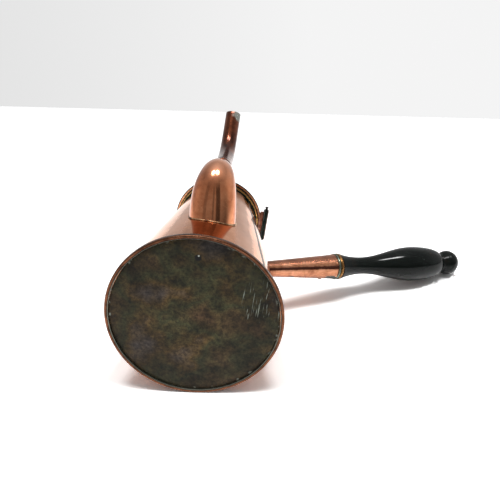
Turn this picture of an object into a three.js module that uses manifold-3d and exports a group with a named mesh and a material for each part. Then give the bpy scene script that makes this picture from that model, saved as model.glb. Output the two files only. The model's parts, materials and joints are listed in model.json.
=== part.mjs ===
// A side-handled copper coffee pot: a straight tapered body on a rolled foot rim, a tall
// spout in two sections, a turned wooden handle in a copper socket, and a hinged lid.
// Millimetres, +Z up. The origin is on the body's axis, at the level that the pot stands on.
// The spout points to -Y. The handle and the lid's hinge are on the +X side.
import * as THREE from 'three';
import { mergeVertices } from 'three/addons/utils/BufferGeometryUtils.js';
import Module from 'manifold-3d';

const wasm = await Module();
wasm.setup();

// Body, a cone of sheet copper
const bodyHeight = 200;
const bodyFootRadius = 62.5;
const bodyMouthRadius = 38;
const bodyWall = 1.2;

// Foot rim, rolled round the lower edge of the body
const footRimOverhang = 2.5;
const footRimHeight = 6.5;
const footRimEdgeRound = 1;

// Base plate, dished down a little in the middle
const plateThickness = 1.2;
const plateEdgeRecess = 1.5;
const plateCentreRecess = 0.7;
const plateFlatRadius = 30;
const plateEdgeWidth = 5;

// Mouth band, a moulded strip round the top of the body
const mouthBandHeight = 5.2;
const mouthBandOverhang = 4;
const mouthBandLipOverhang = 2.5;
const mouthBandLipHeight = 1.8;
const mouthBandGrooveDepth = 0.5;
const mouthBandGrooveHeight = 0.8;

// Strainer, a field of holes through the wall behind the spout
const strainerHoleRadius = 1.6;
const strainerPitch = 6;
const strainerMargin = 4;

// Spout, lower section: a fat bent horn that narrows to a neck
const spoutWall = 1.1;
const spoutRootHeight = 65;
const spoutRootHalfWidth = 17.7;
const spoutRootHalfDepth = 20;
const spoutNeckRadius = 7.5;
const spoutNeckHeight = 134;
const spoutStandOff = 18;
const spoutBellyOut = 5.5;
const spoutBellyDrop = 40;
const spoutRootPull = 26;
const spoutSideBow = 3.4;
const spoutRootSide = 0.9;
const spoutNeckSide = -0.8;

// Spout, upper tube: it leaves the neck upright and leans out to the pouring end
const tubeWall = 0.9;
const tubeFootStep = 0.2;
const tubeTipRadius = 6.8;
const tubeTipRise = 5;
const tubeTipOut = 30;
const tubeUprightPull = 29;
const tubeTipPullReach = 25.5;
const tubeTipPullHeight = 18;
const tubeSideLean = 1.4;
const tubeTipSide = 1;
const jointRingHeight = 3;
const jointRingWall = 0.7;
const rootSeamWidth = 1.3;
const rootSeamHeight = 1.4;

// Handle, on a line that rises from the body at a slant; distances run along that line
// from the body's axis
const handleSlopeDegrees = 22.66;
const handleAxisHeight = 77.9;
const socketRootRadius = 6.6;
const socketMouthRadius = 11.6;
const socketMouthAt = 127;
const socketWall = 1;
const handleRootSeamWidth = 1.4;
const handleRootSeamHeight = 1.5;
const collarLength = 6.9;
const collarEndOverhang = 0.2;
const collarOverhang = 1;
const tangLength = 58;
const gripShoulderStep = 1;
const gripWaistRadius = 8;
const gripWaistAt = 20;
const gripBulbRadius = 17;
const gripBulbAt = 79;
const gripLength = 110.5;
const gripEndRadius = 9.8;
const gripNeckRadius = 7.2;
const beadRadius = 10.2;
const beadNeckLength = 3.8;
const beadThickness = 3.6;
const ballRadius = 11.6;
const ballThickness = 15.6;
const ballGrooveWidth = 1.2;
const ballFootDegrees = 50;
const nailRadius = 1.2;
const nailHeadRadius = 2.2;
const nailHeadHeight = 0.9;
const nailDepth = 13;
const nailFromSocketMouth = 15;

// Lid
const lidFlangeOverhang = 2.5;
const lidFlangeThickness = 1.6;
const bezelPlay = 1;
const bezelWall = 1;
const bezelDepth = 5.4;
const domeWall = 1;
const domeStep = 1.4;
const domeRise = 19;
const domeCrownMargin = 1;
const domeFootMargin = 0.8;

// Finial on the lid
const washerOverhang = 2.4;
const washerThickness = 1.6;
const knobHeight = 19;
const knobRadius = 10;
const knobNeckRadius = 4.6;
const knobWaistRadius = 3.9;
const knobWaistHeight = 2.3;
const knobBallHalf = 6.8;
const knobBallFootDegrees = 60;
const studRadius = 1.8;
const studInKnob = 11;
const nutOverhang = 2.8;
const nutThickness = 2.4;
const studTail = 1.4;

// Hinge: its barrel lies along Y beyond the flange
const hingeStandOff = 4.2;
const hingeRise = 6;
const hingeHalfLength = 16.5;
const knuckleRadius = 2.7;
const knuckleHalfMiddle = 5.5;
const pinRadius = 1.25;
const pinClearance = 0.1;
const pinHeadRadius = 1.8;
const pinHeadLength = 0.8;
const pinOverhangFront = 3.4;
const pinOverhangBack = 1;
const leafThickness = 1.2;
const strapHeight = 3.4;
const strapThickness = 1;
const upperLeafHalfLength = 14;
const rivetRadius = 1.3;
const rivetHeadRadius = 2.4;
const rivetHeadHeight = 1.1;
const lidRivetSpacing = 19;

// Clearances: between pieces that touch, and between faces that turn past each other
const touchGap = 0.3;
const turnGap = 0.3;

// How finely round shapes are faceted
const bodySides = 54;
const handleSides = 24;
const spoutSides = 22;
const spoutSteps = 9;
const gripSteps = 14;
const knuckleSides = 18;
const smallSides = 10;
const domeSteps = 6;
const ballSteps = 7;
const beadSteps = 3;
const edgeSteps = 2;

// Finishes
const copper = { color: 0xc07a55, metalness: 1, roughness: 0.22 };
const agedCopper = { color: 0x9a5c3c, metalness: 1, roughness: 0.35 };
const tinnedPatina = { color: 0x453e37, metalness: 0.6, roughness: 0.6 };
const solder = { color: 0x8d8a80, metalness: 0.9, roughness: 0.45 };
const brass = { color: 0x9a7440, metalness: 1, roughness: 0.3 };
const darkBrass = { color: 0x4a4432, metalness: 0.8, roughness: 0.5 };
const iron = { color: 0x3a3733, metalness: 0.8, roughness: 0.6 };
const ebonisedWood = { color: 0x1c1a18, metalness: 0, roughness: 0.3 };

// Sizes that follow from the ones above
const bodyTaper = (bodyFootRadius - bodyMouthRadius) / bodyHeight;
const footRimRadius = bodyFootRadius + footRimOverhang;
const plateTop = plateEdgeRecess + plateThickness;
const bodyBottom = plateTop + touchGap;
const plateSeatRadius = bodyFootRadius - touchGap;
const mouthBandRadius = bodyMouthRadius + mouthBandOverhang;
const mouthBandLipRadius = bodyMouthRadius + mouthBandLipOverhang;
const spoutNeckReach = bodyFootRadius + spoutStandOff;
const tubeFootRadius = spoutNeckRadius - tubeFootStep;
const tubeTipReach = spoutNeckReach + tubeTipOut;
const tubeTipHeight = bodyHeight + tubeTipRise;
const strainerHalfWidth = spoutRootHalfWidth - spoutWall - strainerHoleRadius - strainerMargin;
const strainerHalfHeight = spoutRootHalfDepth - spoutWall - strainerHoleRadius - strainerMargin;
const flangeBottom = bodyHeight + touchGap;
const flangeTop = flangeBottom + lidFlangeThickness;
const lidFlangeRadius = mouthBandRadius + lidFlangeOverhang;
const bezelRadius = bodyMouthRadius - bodyWall - bezelPlay;
const flangeInnerRadius = bezelRadius - bezelWall;
const domeFootRadius = bezelRadius + domeFootMargin;
const domeBottom = flangeTop + touchGap;
const domeTop = domeBottom + domeStep + domeRise;
const washerBottom = domeTop + touchGap;
const knobBottom = washerBottom + washerThickness + touchGap;
const washerRadius = knobNeckRadius + washerOverhang;
const domeCrownRadius = washerRadius + domeCrownMargin;
const nutRadius = studRadius + nutOverhang;
const hingeReach = lidFlangeRadius + hingeStandOff;
const hingeHeight = bodyHeight + hingeRise;
const strapInnerRadius = mouthBandRadius + touchGap;
const strapOuterRadius = strapInnerRadius + strapThickness;
const upperLeafBottom = flangeTop + touchGap;
const collarStart = socketMouthAt + touchGap;
const gripStart = collarStart + collarLength + touchGap;
const handleSlope = THREE.MathUtils.degToRad(handleSlopeDegrees);
const collarEndRadius = socketMouthRadius + collarEndOverhang;
const collarRadius = socketMouthRadius + collarOverhang;
const gripShoulderRadius = socketMouthRadius - gripShoulderStep;

// The body's outer radius at a height
function bodyRadiusAt(z) {
  return bodyFootRadius - bodyTaper * z;
}

// Where the handle's line comes out of the body, counted along the line
const socketRootAt = bodyRadiusAt(handleAxisHeight) / (Math.cos(handleSlope) + bodyTaper * Math.sin(handleSlope));

// The socket's outer radius at a distance along the handle
function socketRadiusAt(s) {
  const share = (s - socketRootAt) / (socketMouthAt - socketRootAt);
  return socketRootRadius + (socketMouthRadius - socketRootRadius) * share;
}

// A shape turned round the Z axis from points [radius, height]
function turned(points, sides) {
  const profile = points.map(([radius, height]) => new THREE.Vector2(radius, height));
  return new THREE.LatheGeometry(profile, sides).rotateX(Math.PI / 2);
}

// A turned ring or tube: its outline closes on itself
function turnedRing(points, sides) {
  return turned([...points, points[0]], sides);
}

// Points of an elliptic arc round a centre, angles in degrees from the radius direction
function arc(centre, radii, from, to, steps) {
  return Array.from({ length: steps + 1 }, (_, i) => {
    const angle = THREE.MathUtils.degToRad(from + ((to - from) * i) / steps);
    return [centre[0] + radii[0] * Math.cos(angle), centre[1] + radii[1] * Math.sin(angle)];
  });
}

// A closed skin through rings of points, the last ring joined to the first
function ringedSkin(rings) {
  const count = rings[0].length;
  const position = rings.flat().flatMap((point) => [point.x, point.y, point.z]);
  const index = [];
  rings.forEach((ring, i) => {
    const start = i * count;
    const next = ((i + 1) % rings.length) * count;
    for (let j = 0; j < count; j += 1) {
      const k = (j + 1) % count;
      index.push(start + j, start + k, next + k);
      index.push(start + j, next + k, next + j);
    }
  });
  const geometry = new THREE.BufferGeometry();
  geometry.setAttribute('position', new THREE.Float32BufferAttribute(position, 3));
  geometry.setIndex(index);
  return geometry;
}

// A closed geometry as a solid for joining and cutting
function toSolid(geometry) {
  const bare = geometry.clone();
  bare.deleteAttribute('normal');
  bare.deleteAttribute('uv');
  const merged = mergeVertices(bare);
  const corners = Array.from(merged.index.array);
  const kept = [];
  for (let i = 0; i < corners.length; i += 3) {
    const [a, b, c] = corners.slice(i, i + 3);
    if (a !== b && b !== c && c !== a) kept.push(a, b, c);
  }
  const vertProperties = merged.attributes.position.array;
  const triVerts = Uint32Array.from(kept);
  return new wasm.Manifold(new wasm.Mesh({ numProp: 3, vertProperties, triVerts }));
}

function toGeometry(solid) {
  const mesh = solid.getMesh();
  const geometry = new THREE.BufferGeometry();
  geometry.setAttribute('position', new THREE.BufferAttribute(mesh.vertProperties, 3));
  geometry.setIndex(new THREE.BufferAttribute(mesh.triVerts, 1));
  geometry.computeVertexNormals();
  return geometry;
}

// A block between two corners
function block(low, high) {
  const size = high.map((value, i) => value - low[i]);
  const centre = high.map((value, i) => (value + low[i]) / 2);
  return toSolid(new THREE.BoxGeometry(...size).translate(...centre));
}

// A round bar along Y between two places
function barAlongY(radius, from, to, x, z, sides = smallSides) {
  return toSolid(new THREE.CylinderGeometry(radius, radius, to - from, sides)
    .translate(x, (from + to) / 2, z));
}

// The space inside the body's outer surface, grown by a margin and longer than the body
function bodySpace(margin) {
  const low = -bodyHeight / 10;
  const high = bodyHeight - low;
  return toSolid(turned([
    [0, low],
    [bodyRadiusAt(low) + margin, low],
    [bodyRadiusAt(high) + margin, high],
    [0, high],
  ], bodySides));
}

// The handle's own frame, with its line along +Z, placed on the pot
function placeOnHandle(geometry) {
  return geometry.rotateY(Math.PI / 2 - handleSlope).translate(0, 0, handleAxisHeight);
}

const pot = new THREE.Group();

function addPiece(name, geometry, finish) {
  const mesh = new THREE.Mesh(geometry, new THREE.MeshStandardMaterial(finish));
  mesh.name = name;
  pot.add(mesh);
}

// Lower spout section: the centre line and its oval sections, from the body out to the neck
const hornRootReach = bodyRadiusAt(spoutRootHeight) - spoutRootHalfDepth / 4;
const hornLine = new THREE.CubicBezierCurve3(
  new THREE.Vector3(spoutRootSide, -hornRootReach, spoutRootHeight),
  new THREE.Vector3(-spoutSideBow / 2, -hornRootReach - spoutRootPull, spoutRootHeight),
  new THREE.Vector3(-spoutSideBow, -spoutNeckReach - spoutBellyOut, spoutNeckHeight - spoutBellyDrop),
  new THREE.Vector3(spoutNeckSide, -spoutNeckReach, spoutNeckHeight),
);
const neckEnd = hornLine.getPoint(1);
const neckDirection = hornLine.getTangent(1);

// How the horn narrows: slowly at first across its width, evenly across its depth
function hornHalfWidth(t) {
  return spoutNeckRadius + (spoutRootHalfWidth - spoutNeckRadius) * (1 - t ** 2.5) ** 1.4;
}

function hornHalfDepth(t) {
  return spoutNeckRadius + (spoutRootHalfDepth - spoutNeckRadius) * (1 - t ** 1.2);
}

// Upper tube: it goes on in the neck's direction
const tubeLine = new THREE.CubicBezierCurve3(
  neckEnd.clone().addScaledVector(neckDirection, touchGap),
  neckEnd.clone().addScaledVector(neckDirection, tubeUprightPull),
  new THREE.Vector3(tubeSideLean, -tubeTipReach + tubeTipPullReach, tubeTipHeight - tubeTipPullHeight),
  new THREE.Vector3(tubeTipSide, -tubeTipReach, tubeTipHeight),
);

function tubeRadiusAt(t) {
  return tubeFootRadius + (tubeTipRadius - tubeFootRadius) * t;
}

// One oval ring of points square to a centre line
function ovalRing(line, t, halfWidth, halfDepth) {
  const centre = line.getPoint(t);
  const along = line.getTangent(t);
  const side = new THREE.Vector3(1, 0, 0).addScaledVector(along, -along.x).normalize();
  const up = new THREE.Vector3().crossVectors(along, side);
  return Array.from({ length: spoutSides }, (_, j) => {
    const angle = (2 * Math.PI * j) / spoutSides;
    return centre.clone()
      .addScaledVector(side, halfWidth * Math.cos(angle))
      .addScaledVector(up, halfDepth * Math.sin(angle));
  });
}

// A hollow run along a centre line, open at both ends
function hollowRun(line, halfWidthAt, halfDepthAt, wall, count = spoutSteps) {
  const steps = Array.from({ length: count + 1 }, (_, i) => i / count);
  const outer = steps.map((t) => ovalRing(line, t, halfWidthAt(t), halfDepthAt(t)));
  const inner = steps.map((t) => ovalRing(line, t, halfWidthAt(t) - wall, halfDepthAt(t) - wall));
  return ringedSkin([...outer, ...inner.reverse()]);
}

// A solid run along a centre line, its sections grown by a margin
function solidHorn(margin) {
  const steps = Array.from({ length: spoutSteps + 1 }, (_, i) => i / spoutSteps);
  const rings = steps.map((t) => (
    ovalRing(hornLine, t, hornHalfWidth(t) + margin, hornHalfDepth(t) + margin)
  ));
  const first = rings[0].map(() => hornLine.getPoint(0));
  const last = rings[0].map(() => hornLine.getPoint(1));
  return toSolid(ringedSkin([first, ...rings, last]));
}

// Wall of the body, pierced behind the spout
function bodyWallGeometry() {
  const wall = turnedRing([
    [bodyRadiusAt(bodyBottom), bodyBottom],
    [bodyRadiusAt(bodyHeight), bodyHeight],
    [bodyRadiusAt(bodyHeight) - bodyWall, bodyHeight],
    [bodyRadiusAt(bodyBottom) - bodyWall, bodyBottom],
  ], bodySides);
  return toGeometry(toSolid(wall).subtract(strainerHoles()));
}

// Round holes in staggered rows, inside an oval
function strainerHoles() {
  const rowPitch = strainerPitch * Math.sin(Math.PI / 3);
  const rows = Math.floor(strainerHalfHeight / rowPitch);
  const columns = Math.ceil(strainerHalfWidth / strainerPitch);
  const bars = [];
  for (let row = -rows; row <= rows; row += 1) {
    const shift = row % 2 === 0 ? 0 : strainerPitch / 2;
    for (let column = -columns; column <= columns; column += 1) {
      const x = column * strainerPitch + shift;
      const z = row * rowPitch;
      const inside = (x / strainerHalfWidth) ** 2 + (z / strainerHalfHeight) ** 2 <= 1;
      if (inside) bars.push(barAlongY(strainerHoleRadius, -bodyFootRadius, 0, x, spoutRootHeight + z));
    }
  }
  return wasm.Manifold.union(bars);
}

// Rolled rim under and round the body's lower edge
function footRimGeometry() {
  const round = footRimEdgeRound;
  const shoulder = bodyRadiusAt(footRimHeight) + touchGap;
  const crest = footRimHeight - round;
  return turnedRing([
    [plateSeatRadius + round / 4, 0],
    ...arc([footRimRadius - round, round], [round, round], -90, 0, edgeSteps),
    ...arc([shoulder, crest / 2], [footRimRadius - shoulder, footRimHeight - crest / 2], 0, 90, beadSteps),
    [bodyRadiusAt(bodyBottom) + touchGap, bodyBottom],
    [bodyRadiusAt(bodyBottom) + touchGap, plateTop],
    [plateSeatRadius, plateTop],
    [plateSeatRadius, round / 4],
  ], bodySides);
}

// Dished plate inside the foot rim
function basePlateGeometry() {
  const radius = plateSeatRadius - touchGap;
  const slopeEnd = radius - plateEdgeWidth;
  return turned([
    [0, plateCentreRecess],
    [plateFlatRadius, plateCentreRecess],
    [slopeEnd, plateEdgeRecess],
    [radius, plateEdgeRecess],
    [radius, plateTop],
    [slopeEnd, plateTop],
    [plateFlatRadius, plateCentreRecess + plateThickness],
    [0, plateCentreRecess + plateThickness],
  ], bodySides);
}

// Moulded band round the mouth: a lip, a groove and a bead
function mouthBandGeometry() {
  const low = bodyHeight - mouthBandHeight;
  const lipTop = low + mouthBandLipHeight;
  const grooveTop = lipTop + mouthBandGrooveHeight;
  const beadHalf = (bodyHeight - grooveTop) / 2;
  const innerAt = (z) => bodyRadiusAt(z) + touchGap;
  const grooveRadius = mouthBandLipRadius - mouthBandGrooveDepth;
  return turnedRing([
    [innerAt(low), low],
    [innerAt(low) + touchGap, low],
    [mouthBandLipRadius, (low + lipTop) / 2],
    [mouthBandLipRadius, lipTop],
    [grooveRadius, (lipTop + grooveTop) / 2],
    [grooveRadius, grooveTop],
    ...arc([mouthBandRadius - beadHalf, bodyHeight - beadHalf], [beadHalf, beadHalf], -90, 90, beadSteps),
    [innerAt(bodyHeight), bodyHeight],
  ], bodySides);
}

// Lower spout section, cut where it meets the body
function spoutHornGeometry() {
  const horn = toSolid(hollowRun(hornLine, hornHalfWidth, hornHalfDepth, spoutWall));
  return toGeometry(horn.subtract(bodySpace(touchGap)));
}

// Soldered seam round the spout's root
function spoutRootSeamGeometry() {
  const layer = bodySpace(touchGap + rootSeamHeight).subtract(bodySpace(touchGap));
  const ring = solidHorn(touchGap + rootSeamWidth).intersect(layer);
  const horn = solidHorn(0);
  const moves = [[touchGap, 0, 0], [-touchGap, 0, 0], [0, 0, touchGap], [0, 0, -touchGap]];
  const room = wasm.Manifold.union(moves.map((move) => horn.translate(move)));
  return toGeometry(ring.subtract(room));
}

function spoutTubeGeometry() {
  return hollowRun(tubeLine, tubeRadiusAt, tubeRadiusAt, tubeWall);
}

// Band over the joint between the neck and the upper tube
function spoutJointRingGeometry() {
  const from = neckEnd.clone().addScaledVector(neckDirection, -jointRingHeight / 3);
  const to = from.clone().addScaledVector(neckDirection, jointRingHeight);
  const outerRadius = () => spoutNeckRadius + 2 * touchGap + jointRingWall;
  return hollowRun(new THREE.LineCurve3(from, to), outerRadius, outerRadius, jointRingWall, 1);
}

// Copper socket of the handle, cut where it meets the body
function socketGeometry() {
  const start = socketRootAt - 2 * socketRootRadius;
  const end = socketMouthAt;
  const tube = placeOnHandle(turnedRing([
    [socketRadiusAt(start), start],
    [socketRadiusAt(end), end],
    [socketRadiusAt(end) - socketWall, end],
    [socketRadiusAt(start) - socketWall, start],
  ], handleSides));
  return toGeometry(toSolid(tube).subtract(bodySpace(touchGap)).subtract(nailHole()));
}

// Soldered seam round the socket's root
function handleRootSeamGeometry() {
  const start = socketRootAt - 2 * socketRootRadius;
  const end = socketRootAt + 2 * socketRootRadius;
  const collar = placeOnHandle(turnedRing([
    [socketRadiusAt(start) + touchGap, start],
    [socketRadiusAt(start) + touchGap + handleRootSeamWidth, start],
    [socketRadiusAt(end) + touchGap + handleRootSeamWidth, end],
    [socketRadiusAt(end) + touchGap, end],
  ], handleSides));
  const layer = bodySpace(touchGap + handleRootSeamHeight).subtract(bodySpace(touchGap));
  return toGeometry(toSolid(collar).intersect(layer));
}

// Brass collar between the socket's mouth and the wood
function collarGeometry() {
  const inner = tangRadiusAt(socketMouthAt) + touchGap;
  const end = collarStart + collarLength;
  const middle = (collarStart + end) / 2;
  return placeOnHandle(turnedRing([
    [inner, collarStart],
    [collarEndRadius, collarStart],
    ...arc([collarEndRadius, middle], [collarRadius - collarEndRadius, collarLength / 3], -90, 90, beadSteps),
    [collarEndRadius - touchGap, end],
    [inner, end],
  ], handleSides));
}

// Radius of the wooden tang inside the socket
function tangRadiusAt(s) {
  return socketRadiusAt(s) - socketWall - touchGap;
}

// Turned outline from the shoulder through the waist to the bulb's end
function gripRadiusAt(s) {
  if (s < gripWaistAt) {
    const share = 1 - s / gripWaistAt;
    return gripWaistRadius + (gripShoulderRadius - gripWaistRadius) * share ** 2;
  }
  if (s < gripBulbAt) {
    const share = (s - gripWaistAt) / (gripBulbAt - gripWaistAt);
    const rise = (1 - Math.cos(Math.PI * share)) / 2;
    return gripWaistRadius + (gripBulbRadius - gripWaistRadius) * rise;
  }
  const share = Math.min((s - gripBulbAt) / (gripLength - gripBulbAt), 1);
  return gripEndRadius + (gripBulbRadius - gripEndRadius) * Math.sqrt(1 - share ** 2);
}

// Turned wooden handle: tang, waist, bulb, bead and ball in one piece
function gripGeometry() {
  const tangEnd = socketMouthAt - tangLength;
  const outline = Array.from({ length: gripSteps + 1 }, (_, i) => {
    const s = (gripLength * i) / gripSteps;
    return [gripRadiusAt(s), gripStart + s];
  });
  const gripEnd = gripStart + gripLength;
  const beadRound = beadThickness / 2;
  const beadMiddle = gripEnd + beadNeckLength + beadRound;
  const ballMiddle = beadMiddle + beadRound + ballGrooveWidth + ballThickness / 2;
  const grip = placeOnHandle(turned([
    [0, tangEnd],
    [tangRadiusAt(tangEnd), tangEnd],
    [tangRadiusAt(socketMouthAt), socketMouthAt],
    [tangRadiusAt(socketMouthAt), gripStart],
    ...outline,
    [gripNeckRadius, gripEnd + touchGap],
    [gripNeckRadius, beadMiddle - beadRound],
    ...arc([beadRadius - beadRound, beadMiddle], [beadRound, beadRound], -90, 90, beadSteps),
    ...arc([0, ballMiddle], [ballRadius, ballThickness / 2], -ballFootDegrees, 90, ballSteps),
  ], handleSides));
  return toGeometry(toSolid(grip).subtract(nailHole()));
}

// Where the nail crosses the handle's line
const nailAt = socketMouthAt - nailFromSocketMouth;

// A bar across the handle's line, from its middle or beyond out to the +Y side
function barAcrossHandle(radius, from, to) {
  const bar = new THREE.CylinderGeometry(radius, radius, to - from, smallSides)
    .translate(0, (from + to) / 2, nailAt);
  return toSolid(placeOnHandle(bar));
}

function nailHole() {
  const outside = socketRadiusAt(nailAt) + socketWall;
  return barAcrossHandle(nailRadius + touchGap, outside - nailDepth - socketWall, outside);
}

// Nail that keeps the tang in the socket
function nailGeometry() {
  const surface = socketRadiusAt(nailAt) + touchGap;
  const shank = barAcrossHandle(nailRadius, surface - nailDepth, surface + nailHeadHeight);
  const head = barAcrossHandle(nailHeadRadius, surface, surface + nailHeadHeight);
  return toGeometry(shank.add(head));
}

// Flat flange of the lid
function lidFlangeGeometry() {
  const half = lidFlangeThickness / 2;
  const flange = turnedRing([
    [flangeInnerRadius, flangeBottom],
    ...arc([lidFlangeRadius - half, flangeBottom + half], [half, half], -90, 90, beadSteps),
    [flangeInnerRadius, flangeTop],
  ], bodySides);
  return toGeometry(toSolid(flange).subtract(lidRivetHoles()));
}

// Ring under the flange that keeps the lid in the mouth
function bezelGeometry() {
  const top = flangeBottom - touchGap;
  const bottom = top - bezelDepth;
  return turnedRing([
    [bezelRadius - bezelWall, bottom],
    [bezelRadius, bottom],
    [bezelRadius, top],
    [bezelRadius - bezelWall, top],
  ], bodySides);
}

// Domed top of the lid, open in the middle for the finial's stud
function domeGeometry() {
  const shoulder = domeBottom + domeStep;
  const hole = studRadius + touchGap;
  const crownAngle = Math.acos(domeCrownRadius / domeFootRadius);
  const sweep = THREE.MathUtils.radToDeg(crownAngle);
  const innerFoot = domeFootRadius - domeWall;
  const outer = arc([0, shoulder], [domeFootRadius, domeRise / Math.sin(crownAngle)], 0, sweep, domeSteps);
  const inner = outer.map(([radius, height]) => [radius * (innerFoot / domeFootRadius), height - domeWall]);
  return turnedRing([
    [innerFoot, domeBottom],
    [domeFootRadius, domeBottom],
    ...outer,
    [hole, domeTop],
    [hole, domeTop - domeWall],
    ...inner.reverse().slice(0, -1),
  ], bodySides);
}

// Brass washer under the knob
function washerGeometry() {
  const hole = studRadius + touchGap;
  const top = washerBottom + washerThickness;
  return turnedRing([
    [hole, washerBottom],
    [washerRadius, washerBottom],
    [washerRadius, washerBottom + washerThickness / 2],
    [knobNeckRadius + touchGap, top],
    [hole, top],
  ], handleSides);
}

// Turned wooden knob with a blind bore for the stud
function knobGeometry() {
  const bore = studRadius + touchGap;
  const boreTop = knobBottom + studInKnob + touchGap;
  const top = knobBottom + knobHeight;
  return turned([
    [0, boreTop],
    [bore, boreTop],
    [bore, knobBottom],
    [knobNeckRadius, knobBottom],
    [knobWaistRadius, knobBottom + knobWaistHeight],
    ...arc([0, top - knobBallHalf], [knobRadius, knobBallHalf], -knobBallFootDegrees, 90, ballSteps),
  ], handleSides);
}

// Stud from the nut inside the lid up into the knob
function studGeometry() {
  const bottom = domeTop - domeWall - touchGap - nutThickness - studTail;
  return turned([
    [0, bottom],
    [studRadius, bottom],
    [studRadius, knobBottom + studInKnob],
    [0, knobBottom + studInKnob],
  ], smallSides);
}

function nutGeometry() {
  const top = domeTop - domeWall - touchGap;
  const hexagon = 6;
  const nut = turned([
    [0, top - nutThickness],
    [nutRadius, top - nutThickness],
    [nutRadius, top],
    [0, top],
  ], hexagon);
  const bore = turned([
    [0, top - 2 * nutThickness],
    [studRadius + touchGap, top - 2 * nutThickness],
    [studRadius + touchGap, top + nutThickness],
    [0, top + nutThickness],
  ], smallSides);
  return toGeometry(toSolid(nut).subtract(toSolid(bore)));
}

// A plate of constant thickness along a line of points in the XZ plane, between two Y places
function plateAlong(points, thickness, from, to) {
  const walls = points.slice(1).map((point, i) => {
    const start = points[i];
    const length = Math.hypot(point[0] - start[0], point[1] - start[1]);
    const angle = Math.atan2(point[1] - start[1], point[0] - start[0]);
    const plate = new THREE.BoxGeometry(length + thickness, to - from, thickness)
      .translate(length / 2, (to + from) / 2, 0)
      .rotateY(-angle)
      .translate(start[0], 0, start[1]);
    return toSolid(plate);
  });
  return wasm.Manifold.union(walls);
}

// The lower leaf: a strap on the mouth band, a plate past the flange and two knuckles
function lowerLeafGeometry() {
  const far = hingeReach + knuckleRadius;
  const strapTop = flangeBottom - turnGap;
  const strap = toSolid(turnedRing([
    [strapInnerRadius, strapTop - strapHeight],
    [strapOuterRadius, strapTop - strapHeight],
    [strapOuterRadius, strapTop],
    [strapInnerRadius, strapTop],
  ], bodySides)).intersect(block([0, -hingeHalfLength, 0], [far, hingeHalfLength, hingeHeight]));
  const plateHeight = strapTop - leafThickness / 2;
  const bend = lidFlangeRadius + turnGap + leafThickness;
  const run = plateAlong([
    [strapInnerRadius + leafThickness, plateHeight],
    [bend, plateHeight],
    [hingeReach - pinRadius, hingeHeight - knuckleRadius + leafThickness / 4],
  ], leafThickness, -hingeHalfLength, hingeHalfLength);
  const knuckles = barAlongY(
    knuckleRadius, -hingeHalfLength, hingeHalfLength, hingeReach, hingeHeight, knuckleSides,
  );
  const middleSpace = knuckleHalfMiddle + turnGap;
  const clear = block(
    [lidFlangeRadius, -middleSpace, flangeBottom - turnGap / 2],
    [far + turnGap, middleSpace, hingeHeight + knuckleRadius + turnGap],
  );
  const whole = strap.add(run.subtract(flangeSweepSpace())).add(knuckles);
  return toGeometry(whole.subtract(clear).subtract(pinBore()));
}

// The room that the flange's edge needs inside the lower leaf
function flangeSweepSpace() {
  const far = lidFlangeRadius + turnGap;
  return toSolid(turned([
    [0, flangeBottom - turnGap],
    [far, flangeBottom - turnGap],
    [far, flangeTop + turnGap],
    [0, flangeTop + turnGap],
  ], bodySides));
}

function pinBore() {
  return barAlongY(
    pinRadius + pinClearance, -2 * hingeHalfLength, 2 * hingeHalfLength,
    hingeReach, hingeHeight, knuckleSides,
  );
}

// The upper leaf: a plate on the lid's flange and the middle knuckle
function upperLeafGeometry() {
  const low = upperLeafBottom;
  const high = low + leafThickness;
  const near = domeFootRadius + touchGap;
  const wideEnd = hingeReach - knuckleRadius - turnGap - leafThickness / 2;
  const wide = block([0, -upperLeafHalfLength, low], [wideEnd, upperLeafHalfLength, high]);
  const domeRoom = toSolid(turned([
    [0, low - turnGap],
    [near, low - turnGap],
    [near, high + turnGap],
    [0, high + turnGap],
  ], bodySides));
  const tongue = block([near, -knuckleHalfMiddle, low], [hingeReach, knuckleHalfMiddle, high]);
  const knuckle = barAlongY(
    knuckleRadius, -knuckleHalfMiddle, knuckleHalfMiddle, hingeReach, hingeHeight, knuckleSides,
  );
  const whole = wide.subtract(domeRoom).add(tongue).add(knuckle);
  return toGeometry(whole.subtract(pinBore()).subtract(lidRivetHoles()));
}

function hingePinGeometry() {
  const front = -hingeHalfLength - pinOverhangFront;
  const back = hingeHalfLength + pinOverhangBack;
  const shaft = barAlongY(pinRadius, front, back, hingeReach, hingeHeight, knuckleSides);
  const heads = [[front, front + pinHeadLength], [back - pinHeadLength, back]].map(([from, to]) => (
    barAlongY(pinHeadRadius, from, to, hingeReach, hingeHeight, knuckleSides)
  ));
  return toGeometry(wasm.Manifold.union([shaft, ...heads]));
}

// Where the two rivets through the lid's flange stand
const lidRivetReach = (domeFootRadius + hingeReach - knuckleRadius) / 2;
const lidRivetPlaces = [-lidRivetSpacing / 2, lidRivetSpacing / 2];

// A rivet's shape round the Z axis, its head above and its peened foot below
function rivetOutline(bottom, top) {
  return [
    [0, bottom],
    [rivetRadius, bottom],
    [rivetRadius, top],
    [rivetHeadRadius, top],
    ...arc([0, top], [rivetHeadRadius, rivetHeadHeight], 0, 90, edgeSteps).slice(1),
  ];
}

function lidRivetGeometry(y) {
  const top = upperLeafBottom + leafThickness + touchGap;
  return turned(rivetOutline(flangeBottom, top), smallSides).translate(lidRivetReach, y, 0);
}

function lidRivetHoles() {
  const holes = lidRivetPlaces.map((y) => {
    const reach = [flangeBottom - lidFlangeThickness, upperLeafBottom + 2 * leafThickness];
    const hole = turned([
      [0, reach[0]],
      [rivetRadius + touchGap, reach[0]],
      [rivetRadius + touchGap, reach[1]],
      [0, reach[1]],
    ], smallSides);
    return toSolid(hole.translate(lidRivetReach, y, 0));
  });
  return wasm.Manifold.union(holes);
}

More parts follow.
